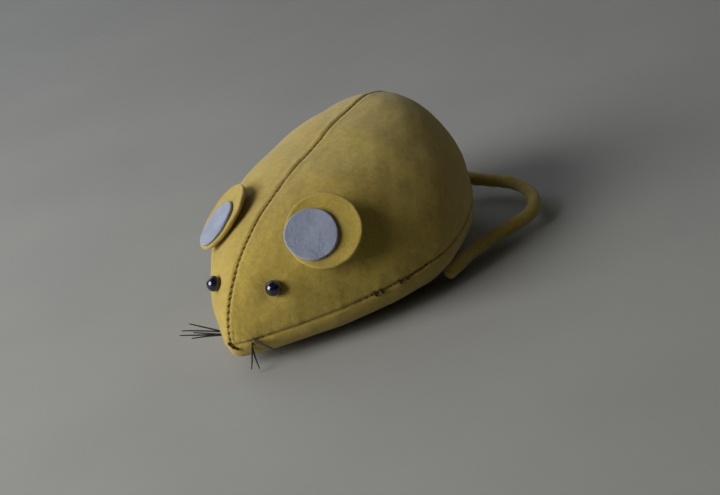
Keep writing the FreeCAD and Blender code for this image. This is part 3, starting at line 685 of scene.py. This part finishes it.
def stuffed_skin(start):
    """The body's surface as one mesh, closed by a point at the nose and one at the rump."""
    ends = np.array([body_point(0.0, 0.0), body_point(1.0, 0.0)])
    points = np.vstack([start.reshape(-1, 3), ends]) / SKIN_UNIT
    faces = ring_faces(SKIN_ROWS, SKIN_COLUMNS, flip=True)
    last = (SKIN_ROWS - 1) * SKIN_COLUMNS
    for j in range(SKIN_COLUMNS):
        k = (j + 1) % SKIN_COLUMNS
        faces.append((SKIN_POINTS, j, k))
        faces.append((SKIN_POINTS + 1, last + k, last + j))
    mesh = bpy.data.meshes.new("stuffed_skin")
    mesh.from_pydata([tuple(p) for p in points], [], faces)
    mesh.update()
    skin = bpy.data.objects.new("stuffed_skin", mesh)
    bpy.context.scene.collection.objects.link(skin)
    return skin


def pin_skin(skin, start, stations, angles):
    """Hold the skin along its seams, where it rests on the floor, and at its two ends."""
    column = 2 * math.pi / SKIN_COLUMNS
    held = np.abs(folded(angles) - base_seam_angle(stations)) < PIN_COLUMNS * column
    held |= np.abs(np.sin(angles) - 1) < PIN_BACK
    held |= start[..., 2] < BELLY_FLAT + PIN_HEIGHT
    pinned = [int(i) for i in np.flatnonzero(held.reshape(-1))] + [SKIN_POINTS, SKIN_POINTS + 1]
    skin.vertex_groups.new(name="pins").add(pinned, 1.0, "REPLACE")


def inflate(skin):
    """Where pressure takes the skin's points, in millimetres. The skin is removed afterwards."""
    cloth = skin.modifiers.new("cloth", "CLOTH")
    settings = cloth.settings
    settings.quality = 5
    settings.mass = 0.3
    settings.tension_stiffness = 18
    settings.compression_stiffness = 18
    settings.shear_stiffness = 8
    settings.bending_stiffness = 2.0
    settings.use_pressure = True
    settings.uniform_pressure_force = 14
    settings.vertex_group_mass = "pins"
    settings.effector_weights.gravity = 0
    cloth.collision_settings.use_collision = False
    cloth.point_cache.frame_start = 1
    cloth.point_cache.frame_end = SKIN_FRAMES
    scene = bpy.context.scene
    for number in range(1, SKIN_FRAMES + 1):
        scene.frame_set(number)
    settled = skin.evaluated_get(bpy.context.evaluated_depsgraph_get())
    moved = np.zeros(len(skin.data.vertices) * 3)
    settled.data.vertices.foreach_get("co", moved)
    bpy.data.objects.remove(skin)
    scene.frame_set(1)
    return moved.reshape(-1, 3)[:SKIN_POINTS].reshape(SKIN_ROWS, SKIN_COLUMNS, 3) * SKIN_UNIT


def simulated_puff():
    """A function of station and angle: how far wool pushes the skin out, in millimetres."""
    share = (np.arange(SKIN_ROWS) + 0.5) / SKIN_ROWS
    around = np.linspace(-math.pi, math.pi, SKIN_COLUMNS, endpoint=False)
    stations, angles = np.meshgrid(station_at(math.pi * share), around, indexing="ij")
    start = body_point(stations, angles)
    skin = stuffed_skin(start)
    pin_skin(skin, start, stations, angles)
    pushed = ((inflate(skin) - start) * body_normal(stations, angles)).sum(-1)
    puff = np.clip(pushed, PUFF_LEAST, PUFF_MOST)
    for _ in range(PUFF_SMOOTHINGS):
        puff = (puff + np.roll(puff, 1, 1) + np.roll(puff, -1, 1)) / 3
        puff[1:-1] = (puff[:-2] + puff[1:-1] + puff[2:]) / 3

    def at(station, angle):
        """The grid read between its points."""
        turn = np.arccos(np.clip(1 - 2 * station, -1, 1)) / math.pi
        row = np.clip(turn * SKIN_ROWS - 0.5, 0, SKIN_ROWS - 1.001)
        column = np.mod((angle + math.pi) / (2 * math.pi) * SKIN_COLUMNS, SKIN_COLUMNS)
        r, c = row.astype(int), column.astype(int) % SKIN_COLUMNS
        fr, fc = row - r, column - np.floor(column)
        d = (c + 1) % SKIN_COLUMNS
        near = puff[r, c] * (1 - fc) + puff[r, d] * fc
        far = puff[r + 1, c] * (1 - fc) + puff[r + 1, d] * fc
        return near * (1 - fr) + far * fr

    return at


puff_at = simulated_puff()


# Felt panels

bead_centres = {
    side: body_point(*place) + body_normal(*place) * BEAD_PROUD
    for side, place in BEAD_PLACES.items()
}
key_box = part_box("winding_arbor")
key_place = [(key_box[0][i] + key_box[1][i]) / 2 / MM for i in (1, 2)]


def arc_from_first(points):
    """Length along the second axis of a grid of points, from its first column."""
    steps = np.linalg.norm(np.diff(points, axis=1), axis=-1)
    return np.concatenate([np.zeros((len(points), 1)), np.cumsum(steps, axis=1)], axis=1)


def seam_dip(distance, along, gather, seed):
    """How far the felt turns in beside a seam: deepest at the edge, and gathered at each stitch."""
    level = along * 0
    wander = smooth_lumps(np.stack([along, level, level], -1), WANDER_SIZE, seed)
    pinch = 0.5 + 0.5 * np.cos(2 * math.pi * along / STITCH_PITCH)
    spread = GROOVE_SPREAD - GROOVE_PINCH * gather * pinch + GROOVE_WANDER * wander
    dip = -GROOVE_DEPTH * bell(distance, GROOVE_WIDTH * spread)
    shoulder = SHOULDER_RISE * gather * bell(distance - SHOULDER_AT, SHOULDER_WIDTH)
    shoulder = shoulder * (1 - SHOULDER_PINCH * pinch)
    hole = -HOLE_DEPTH * gather * bell(distance - STITCH_REACH, HOLE_WIDTH) * pinch**6
    ripple = smooth_lumps(np.stack([along, level, distance], -1), RIPPLE_SIZE, seed + 1)
    ripple = RIPPLE_RISE * np.exp(-distance / RIPPLE_FADE) * ripple
    return dip + shoulder + hole + ripple


def dent(points, place, radius, depth):
    """How far the felt is pushed in round a place."""
    return -depth * bell(np.linalg.norm(points - np.asarray(place), axis=-1), radius)


def surface_lumps(points):
    return sum(rise * smooth_lumps(points, size, seed) for rise, size, seed in SURFACE_LUMPS)


def panel_shell(name, points, painted_shade, faces, *replaced):
    """One felt panel with its thickness: a closed shell."""
    piece = new_mesh(name, points.reshape(-1, 3), faces, "yellow_felt", "mouse_body")
    # The painted seam shade, stored on the points for the felt material to read
    attribute = piece.data.attributes.new("painted_seam_shade", "FLOAT", "POINT")
    attribute.data.foreach_set("value", np.asarray(painted_shade.reshape(-1), np.float32))
    add_weld(piece)
    thick = piece.modifiers.new("thickness", "SOLIDIFY")
    thick.thickness = FELT * MM
    thick.offset = -1
    apply_modifiers(piece)
    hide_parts(*replaced)


def side_panel(side):
    """The left panel where side is 1, and its mirror image, open for the key, where it is -1."""
    stations = row_stations(PANEL_ROWS)[:, None]
    share = np.linspace(0, 1, PANEL_COLUMNS)
    share = SIDE_EVENNESS * share + (1 - SIDE_EVENNESS) * station_at(math.pi * share)
    low = base_seam_angle(stations)
    angles = low + (math.pi / 2 - low) * share[None, :]
    stations = np.broadcast_to(stations, angles.shape)
    points = body_point(stations, angles)
    outward = body_normal(stations, angles)
    if side < 0:
        points, outward = points * MIRROR, outward * MIRROR
    from_base = arc_from_first(points)
    from_back = from_base[:, -1:] - from_base
    back_run = np.broadcast_to(run_along(points[:, -1])[:, None], angles.shape)
    base_run = np.broadcast_to(run_along(points[:, 0])[:, None], angles.shape)
    push = puff_at(stations, angles if side > 0 else mirrored(angles)) - PUFF_BACK
    push = push + surface_lumps(points)
    key_gap = np.linalg.norm(points[..., 1:] - key_place, axis=-1)
    if side < 0:
        push = push * (1 - np.exp(-((key_gap / KEY_FLAT_R) ** 4)))
    back = seam_dip(from_back, back_run, BACK_GATHER, SEEDS["back_groove"])
    base = seam_dip(from_base, base_run, BASE_GATHER, SEEDS["side_base_groove"])
    push = push + back + base
    push = push + dent(points, bead_centres[side], BEAD_DENT_R, BEAD_DENT)
    placed = points + outward * push[..., None]
    placed[:, -1, 0] = side * PANEL_GAP
    placed[..., 0] = side * np.maximum(side * placed[..., 0], PANEL_GAP)
    faces = np.array(grid_faces(*angles.shape, side < 0))
    if side < 0:
        faces = faces[key_gap.reshape(-1)[faces].mean(1) >= EYELET_CUT]
    # Painted shade beside the back seam and the base seam
    shade_painted = BACK_PAINTED_SHADE * bell(from_back, PAINTED_SHADE_WIDTH) + BASE_PAINTED_SHADE * bell(from_base, PAINTED_SHADE_WIDTH)
    word = "left" if side > 0 else "right"
    panel_shell(word + "_panel_felt", placed, shade_painted, faces, word + "_side_panel")


def base_panel():
    """The panel the mouse stands on: flat there, and open for the tin base plate."""
    stations = row_stations(PANEL_ROWS)
    seam = base_seam_angle(stations)
    kept = seam > -math.pi / 2 + 1e-3
    stations, seam = stations[kept][:, None], seam[kept][:, None]
    share = np.linspace(-1, 1, BASE_COLUMNS)
    share = BASE_EVENNESS * share + (1 - BASE_EVENNESS) * np.sin(math.pi / 2 * share)
    angles = -math.pi / 2 + (seam + math.pi / 2) * share[None, :]
    stations = np.broadcast_to(stations, angles.shape)
    points = body_point(stations, angles)
    outward = body_normal(stations, angles)
    from_right = arc_from_first(points)
    from_seam = np.minimum(from_right[:, -1:] - from_right, from_right)
    run = np.broadcast_to(run_along(points[:, -1])[:, None], angles.shape)
    wrapped = np.where(angles < -math.pi, angles + 2 * math.pi, angles)
    resting = np.clip((points[..., 2] - BELLY_FLAT) / REST_FADE, 0, 1)
    push = (puff_at(stations, wrapped) - PUFF_BACK + surface_lumps(points)) * resting
    push = push + seam_dip(from_seam, run, BASE_GATHER, SEEDS["base_groove"])
    placed = points + outward * push[..., None]
    placed[..., 2] = np.maximum(placed[..., 2], BELLY_FLAT)
    faces = np.array(grid_faces(*angles.shape, False))
    x, y, z = placed.reshape(-1, 3)[faces].mean(1).T
    cut = np.zeros(len(faces), bool)
    for half, front, rear in OPENINGS:
        cut |= (abs(x) < half) & (y > front) & (y < rear)
    faces = faces[~(cut & (z < BELLY_FLAT + OPENING_HEIGHT))]
    # Painted shade beside the base seam
    shade_painted = BASE_PAINTED_SHADE * bell(from_seam, PAINTED_SHADE_WIDTH)
    panel_shell("base_panel_felt", placed, shade_painted, faces, "base_panel")


# Stitches, whiskers and the nose


def tube(points, radii, sides):
    """Points and faces of a round tube along a line, in millimetres."""
    points = np.asarray(points, float)
    radii = np.broadcast_to(np.asarray(radii, float), len(points))
    tangents = unit(np.gradient(points, axis=0))
    side = np.cross(tangents[0], (0.0, 0.0, 1.0))
    if np.linalg.norm(side) < 1e-3:
        side = np.cross(tangents[0], (0.0, 1.0, 0.0))
    side = unit(side)
    turn = turns_round(sides)
    rings = []
    for point, tangent, radius in zip(points, tangents, radii):
        side = unit(side - tangent * side.dot(tangent))
        rings.append(point + radius * spokes(turn, side, np.cross(tangent, side)))
    return np.concatenate(rings), tube_faces(len(points), sides)


def join_tubes(tubes):
    """Several tubes as one list of points and faces."""
    vertices, faces, count = [], [], 0
    for points, ring in tubes:
        vertices.append(points)
        faces += [tuple(i + count for i in face) for face in ring]
        count += len(points)
    return np.concatenate(vertices), faces


def stitch_height(share, arch, rise=0.0):
    """How high a stitch stands over its seam: an arch whose two ends dive into their holes."""
    foot, height, bend = arch
    return rise + foot + height * math.cos(share * bend) - STITCH_DIVE * abs(share) ** 6


def seam_stitches(place_at, outward_at, across_at, run, rise, seed):
    """Overcast stitches along a seam: each goes over the edge, from one hole to another."""
    random = np.random.default_rng(seed)
    tubes = []
    for k in range(1, int(run[-1] / STITCH_PITCH)):
        middle = (k + random.uniform(-STITCH_SHIFT, STITCH_SHIFT)) * STITCH_PITCH
        slant = STITCH_SLANT + random.uniform(-STITCH_SHIFT, STITCH_SHIFT)
        reach = STITCH_REACH * random.uniform(0.85, 1.1)
        line = []
        for share in np.linspace(-1, 1, STITCH_POINTS):
            at = middle + slant * share
            height = stitch_height(share, STITCH_ARCH, rise)
            line.append(place_at(at) + across_at(at) * reach * share + outward_at(at) * height)
        tubes.append(tube(line, THREAD_R, THREAD_SIDES))
    return join_tubes(tubes)


def hand_stitches(place_at, outward_at, across_at, run, seed):
    """The four heavy stitches that close the near side of the base seam."""
    random = np.random.default_rng(seed)
    tubes = []
    seam_y = np.array([place_at(at)[1] for at in run])
    for y in HAND_STITCHES:
        at = np.interp(y, seam_y, run)
        reach = random.uniform(0.45, 0.65)
        line = []
        for share in np.linspace(-1, 1, HAND_STITCH_POINTS):
            height = stitch_height(share, HAND_STITCH_ARCH)
            middle = place_at(at + HAND_STITCH_SLANT * share)
            line.append(middle + across_at(at) * reach * share + outward_at(at) * height)
        tubes.append(tube(line, HAND_THREAD_R, HAND_THREAD_SIDES))
    return join_tubes(tubes)


def line_along(stations, angles):
    """A seam's place, outward direction and direction across, each read by the length along it."""
    points = body_point(stations, angles)
    outward = body_normal(stations, angles)
    run = run_along(points)
    across = unit(np.cross(unit(np.gradient(points, axis=0)), outward))

    def read(values):
        return lambda at: np.array([np.interp(at, run, values[:, i]) for i in range(3)])

    return read(points), read(unit(outward)), read(across), run


def back_seam():
    stations = row_stations(SEAM_STATIONS)[3:-3]
    seam = line_along(stations, np.full(stations.shape, math.pi / 2))
    stitches = seam_stitches(*seam, BACK_STITCH_RISE, SEEDS["back_stitches"])
    piece = new_mesh("back_seam_stitches", *stitches, "ochre_thread", "mouse_body")
    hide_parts("back_seam_thread")


def base_seams():
    stations = row_stations(SEAM_STATIONS)
    angles = base_seam_angle(stations)
    kept = (angles > -math.pi / 2 + 0.02) & (stations > 1e-4)
    seam = line_along(stations[kept], angles[kept])
    left, faces = seam_stitches(*seam, BASE_STITCH_RISE, SEEDS["base_stitches"])
    both = join_tubes([(left, faces), (left * MIRROR, [face[::-1] for face in faces])])
    piece = new_mesh("base_seam_stitches", *both, "ochre_thread", "mouse_body")
    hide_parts("base_seam_thread")
    heavy = hand_stitches(*seam, SEEDS["hand_stitches"])
    new_mesh("base_seam_hand_stitches", *heavy, "brown_thread", "mouse_body")


def whiskers(fan, name, node):
    """Stiff thread ends knotted through one cheek, each a little bent and thinner at its end."""
    random = np.random.default_rng(SEEDS[node])
    tubes = []
    for station, angle, reach in fan:
        reach = np.array(reach)
        length = np.linalg.norm(reach)
        away = np.cross(reach / length, random.normal(size=3))
        bend = unit(away) * random.uniform(0.2, 0.6)
        shares = np.linspace(-WHISKER_ROOT / length, 1, WHISKER_POINTS)
        root = body_point(station, angle)
        line = [root + reach * s + bend * (max(s, 0) ** 2 - max(s, 0)) for s in shares]
        radii = WHISKER_R * np.clip(1.0 - WHISKER_TAPER * shares**3, 0.5, 1.05)
        tubes.append(tube(line, radii, WHISKER_SIDES))
    piece = new_mesh(name, *join_tubes(tubes), "black_thread", "mouse_body")
    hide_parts(node)


def nose_stitch():
    """One long stitch that lies on the tip of the snout."""
    start, span, bow = (np.array(v) for v in (NOSE_STITCH_START, NOSE_STITCH_SPAN, NOSE_STITCH_BOW))
    shares = np.linspace(0, 1, NOSE_STITCH_POINTS)
    line = [start + span * share + bow * math.sin(math.pi * share) for share in shares]
    twist = NOSE_THREAD_TWIST * np.sin(np.linspace(0, NOSE_THREAD_TURNS, NOSE_STITCH_POINTS))
    vertices, faces = tube(line, NOSE_THREAD_R + twist, NOSE_THREAD_SIDES)
    piece = new_mesh("nose_stitch_thread", vertices, faces, "brown_thread", "mouse_body")
    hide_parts("nose_stitch")


# Ears


def plane_frame(normal):
    normal = unit(np.asarray(normal, float))
    across = unit(np.cross((0.0, 0.0, 1.0), normal))
    return across, np.cross(normal, across), normal


def disc_profile():
    """Shares of radius and thickness: out along the back, round the edge, and in again."""
    edge = np.linspace(DISC_EDGE_MARGIN, math.pi - DISC_EDGE_MARGIN, DISC_EDGE_RINGS)
    profile = [(r, 0.0) for r in np.linspace(0, DISC_EDGE_FROM, DISC_RINGS)]
    profile += [(DISC_EDGE_FROM + DISC_EDGE * math.sin(a), 0.5 - 0.5 * math.cos(a)) for a in edge]
    return profile + [(r, 1.0) for r in np.linspace(DISC_EDGE_FROM, 0, DISC_RINGS)]


def felt_disc(name, centre, normal, radius, thickness, lift, slot, body, seed):
    """A hand-cut felt disc about its back's centre. lift gives its rise at a place in its plane."""
    across, upward, normal = plane_frame(normal)
    random = np.random.default_rng(seed)
    turns = turns_round(DISC_SIDES)
    wobble = sum(
        random.uniform(0.02, 0.11) * np.cos(n * turns + random.uniform(0, 6.3)) / math.sqrt(n)
        for n in DISC_WAVES
    )
    profile = disc_profile()
    rings = []
    for share, level in profile:
        reach = share * (radius + wobble * share**2)
        x, y = reach * np.cos(turns), reach * np.sin(turns)
        place = np.stack([x, y, np.full(x.shape, level * 3.0)], -1)
        lumps = DISC_LUMPS * smooth_lumps(place, DISC_LUMP_SIZE, seed) * share
        height = level * thickness + lumps + lift(x, y)
        in_plane = np.asarray(centre) + x[:, None] * across + y[:, None] * upward
        rings.append(in_plane + height[:, None] * normal)
    faces = ring_faces(len(profile), DISC_SIDES, flip=True)
    piece = new_mesh(name, np.concatenate(rings), faces, slot, body)
    add_weld(piece)
    apply_modifiers(piece)
    return piece


def ear(side):
    """A yellow felt disc with a smaller pale one glued on it, off its centre."""
    word = "left" if side > 0 else "right"
    body = word + "_ear"
    face, normal, shift = (np.array(v) for v in EARS[word])
    normal = unit(normal)
    shift = shift - normal * shift.dot(normal)
    back = face - normal * (EAR_INNER_FELT + EAR_FELT)
    across, upward, _ = plane_frame(normal)

    def cup(x, y):
        return EAR_CUP * ((x**2 + y**2) / EAR_R**2) ** 1.5

    def cup_under_inner(x, y):
        return EAR_FELT + cup(x - shift.dot(across), y - shift.dot(upward)) + EAR_GLUE

    outer = felt_disc(
        word + "_ear_felt", back + shift, normal, EAR_R, EAR_FELT, cup,
        "yellow_felt", body, SEEDS["ear_felt"] + side,
    )
    inner = felt_disc(
        word + "_ear_pale_felt", back, normal, EAR_INNER_R, EAR_INNER_FELT, cup_under_inner,
        "pale_felt", body, SEEDS["ear_pale_felt"] + side,
    )
    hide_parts(word + "_ear_outer")
    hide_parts(word + "_ear_inner")


# Tail


def smooth_line(points, count):
    """The natural cubic curve through points, read at equal steps of length."""
    points = np.asarray(points, float)
    knots = run_along(points)
    size = len(points)
    system = np.zeros((size, size))
    right = np.zeros((size, 3))
    system[0, 0] = system[-1, -1] = 1
    gaps = np.diff(knots)
    for i in range(1, size - 1):
        system[i, i - 1], system[i, i + 1] = gaps[i - 1], gaps[i]
        system[i, i] = 2 * (gaps[i - 1] + gaps[i])
        slopes = (points[i + 1] - points[i]) / gaps[i], (points[i] - points[i - 1]) / gaps[i - 1]
        right[i] = 6 * (slopes[0] - slopes[1])
    bends = np.linalg.solve(system, right)
    fine = np.linspace(0, knots[-1], 4000)
    piece = np.clip(np.searchsorted(knots, fine, side="right") - 1, 0, size - 2)
    gap = gaps[piece][:, None]
    before = (fine - knots[piece])[:, None]
    after = gap - before
    curve = (bends[piece] * after**3 + bends[piece + 1] * before**3) / (6 * gap)
    curve += (points[piece] / gap - bends[piece] * gap / 6) * after
    curve += (points[piece + 1] / gap - bends[piece + 1] * gap / 6) * before
    run = run_along(curve)
    wanted = np.linspace(0, run[-1], count)
    return np.stack([np.interp(wanted, run, curve[:, i]) for i in range(3)], -1)


def tail_relief(places, turn, row):
    """How far the rolled strip stands out: lumps, less the step and the hollow by its sewn edge."""
    seam_turn = TAIL_SEAM_AT + TAIL_SEAM_SWING * math.sin(row / TAIL_SEAM_ROWS)
    away = np.angle(np.exp(1j * (turn - seam_turn)))
    step = TAIL_STEP * bell(away, TAIL_STEP_WIDTH)
    step = step - TAIL_HOLLOW * bell(away - TAIL_HOLLOW_AT, TAIL_HOLLOW_WIDTH)
    coarse = TAIL_LUMPS * smooth_lumps(places, TAIL_LUMP_SIZE, SEEDS["tail_lumps"])
    fine = TAIL_FINE_LUMPS * smooth_lumps(places, TAIL_FINE_LUMP_SIZE, SEEDS["tail_fine_lumps"])
    return coarse + fine - step


def tail():
    """A strip of felt rolled up and sewn along its edge, with a rounded end."""
    line = smooth_line(TAIL_LINE, TAIL_ROWS)
    start, end = unit(line[0] - line[1]), unit(line[-1] - line[-2])
    domes = np.radians(TAIL_DOME)
    ahead = [line[0] + start * TAIL_R * math.sin(a) for a in reversed(domes)]
    behind = [line[-1] + end * TAIL_R * math.sin(a) for a in domes]
    radii = np.concatenate([np.cos(domes[::-1]), np.ones(len(line)), np.cos(domes)])
    radii = radii * TAIL_R * TAIL_ROUND
    path = np.concatenate([ahead, line, behind])
    before_start = line[:1] + (line[:1] - line[1:2]) * 7
    tangents = unit(np.gradient(np.concatenate([before_start, line]), axis=0))[1:]
    cap = (len(domes), 1)
    tangents = np.concatenate([np.tile(-start, cap), tangents, np.tile(end, cap)])
    turn = turns_round(TAIL_SIDES)
    side = unit(np.cross(tangents[0], (0.0, 0.0, 1.0)))
    rings = []
    for row, (point, tangent, radius) in enumerate(zip(path, tangents, radii)):
        side = unit(side - tangent * side.dot(tangent))
        round_it = spokes(turn, side, np.cross(tangent, side))
        relief = tail_relief(point + radius * round_it, turn, row)
        reach = radius + relief * radius / TAIL_R
        rings.append(point + reach[:, None] * round_it)
    faces = tube_faces(len(path), TAIL_SIDES)
    piece = new_mesh("rolled_tail", np.concatenate(rings), faces, "yellow_felt", "tail")
    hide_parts("tail_felt")


# Eyes


def eye(side):
    """A glass bead whose hole lies on the line to the other bead."""
    axis = unit(bead_centres[1] - bead_centres[-1])
    upward = unit(np.cross(axis, (0.0, 1.0, 0.0)))
    ahead = np.cross(upward, axis)
    first = math.asin(BEAD_BORE_R / BEAD_R)
    bows = np.linspace(first, math.pi - first, BEAD_RINGS)
    profile = [(BEAD_R * math.sin(a), BEAD_R * math.cos(a)) for a in bows]
    bore_end = 0.9 * BEAD_R
    bore = np.linspace(-bore_end, bore_end, BEAD_BORE_RINGS)
    profile += [(BEAD_BORE_R * BEAD_BORE_STEP, x) for x in bore]
    round_it = spokes(turns_round(BEAD_SIDES), ahead, upward)
    rings = [bead_centres[side] + along * axis + radius * round_it for radius, along in profile]
    faces = ring_faces(len(profile), BEAD_SIDES, closed=True)
    name = "left_eye" if side > 0 else "right_eye"
    piece = new_mesh(name, np.concatenate(rings), faces, "blue_glass", "mouse_body")
    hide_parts(name + "_bead")


side_panel(1)
side_panel(-1)
base_panel()
back_seam()
base_seams()
for direction in (1, -1):
    ear(direction)
    eye(direction)
whiskers(LEFT_WHISKERS, "left_whisker_threads", "left_whiskers")
whiskers(RIGHT_WHISKERS, "right_whisker_threads", "right_whiskers")
nose_stitch()
tail()

# The CAD nodes that still show

slot_of = {part["node"]: part["material_slot"] for part in frame["record"]["subparts"]}
for name, node in nodes.items():
    node.data.materials.clear()
    node.data.materials.append(looks[slot_of[name]])


# Floor, lights and camera


def make_floor():
    look = Look("floor")
    patches = look.noise(60.0, 3.0)
    grain = look.noise(1.5, 4.0)
    base = look.ramp(patches, (0.3, (0.316, 0.324, 0.322)), (0.7, (0.343, 0.349, 0.343)))
    rough = look.ramp(grain, (0.3, (0.70,)), (0.7, (0.80,)))
    relief = look.bump(grain, 0.02, 0.3)
    material = look.finish(Base_Color=base, Roughness=rough, Normal=relief, Specular_IOR_Level=0.2)
    mesh = bpy.data.meshes.new("floor")
    corners = [(x * FLOOR_HALF, y * FLOOR_HALF, 0) for x, y in ((-1, -1), (1, -1), (1, 1), (-1, 1))]
    mesh.from_pydata(corners, [], [(0, 1, 2, 3)])
    mesh.materials.append(material)
    floor = bpy.data.objects.new("floor", mesh)
    bpy.context.scene.collection.objects.link(floor)


def area_light(name, toward, distance, size, power, colour):
    """A square soft light that points at the mouse, from the direction toward."""
    data = bpy.data.lights.new(name, "AREA")
    data.size = size
    data.energy = power
    data.color = colour
    light = bpy.data.objects.new(name, data)
    away = Vector(toward).normalized()
    light.location = Vector(LIGHT_TARGET) + away * distance
    light.rotation_euler = away.to_track_quat("Z", "Y").to_euler()
    bpy.context.scene.collection.objects.link(light)


def make_lights():
    world = bpy.data.worlds.new("world")
    world.use_nodes = True
    background = world.node_tree.nodes["Background"]
    background.inputs["Color"].default_value = WORLD_COLOUR
    background.inputs["Strength"].default_value = WORLD_STRENGTH
    bpy.context.scene.world = world
    for name, setting in LIGHTS.items():
        area_light(name, *setting)


def make_camera():
    """The photograph's camera. Its azimuth is 0 in front of the nose and grows to the left."""
    azimuth, elevation, roll = (
        math.radians(a) for a in (CAMERA_AZIMUTH, CAMERA_ELEVATION, CAMERA_ROLL)
    )
    right = Vector((math.cos(azimuth), math.sin(azimuth), 0))
    level = math.cos(elevation)
    back = Vector((math.sin(azimuth) * level, -math.cos(azimuth) * level, math.sin(elevation)))
    up = back.cross(right)
    rolled_right = right * math.cos(roll) - up * math.sin(roll)
    rolled_up = up * math.cos(roll) + right * math.sin(roll)
    data = bpy.data.cameras.new("camera")
    data.sensor_fit = "HORIZONTAL"
    data.sensor_width = SENSOR_WIDTH
    data.lens = CAMERA_LENS
    data.clip_start = CAMERA_NEAR
    data.clip_end = CAMERA_FAR
    camera = bpy.data.objects.new("camera", data)
    columns = Matrix((rolled_right, rolled_up, back)).transposed()
    camera.matrix_world = Matrix.Translation(CAMERA_PLACE) @ columns.to_4x4()
    bpy.context.scene.collection.objects.link(camera)
    bpy.context.scene.camera = camera


make_floor()
make_lights()
make_camera()
bpy.context.scene.view_settings.view_transform = "Standard"
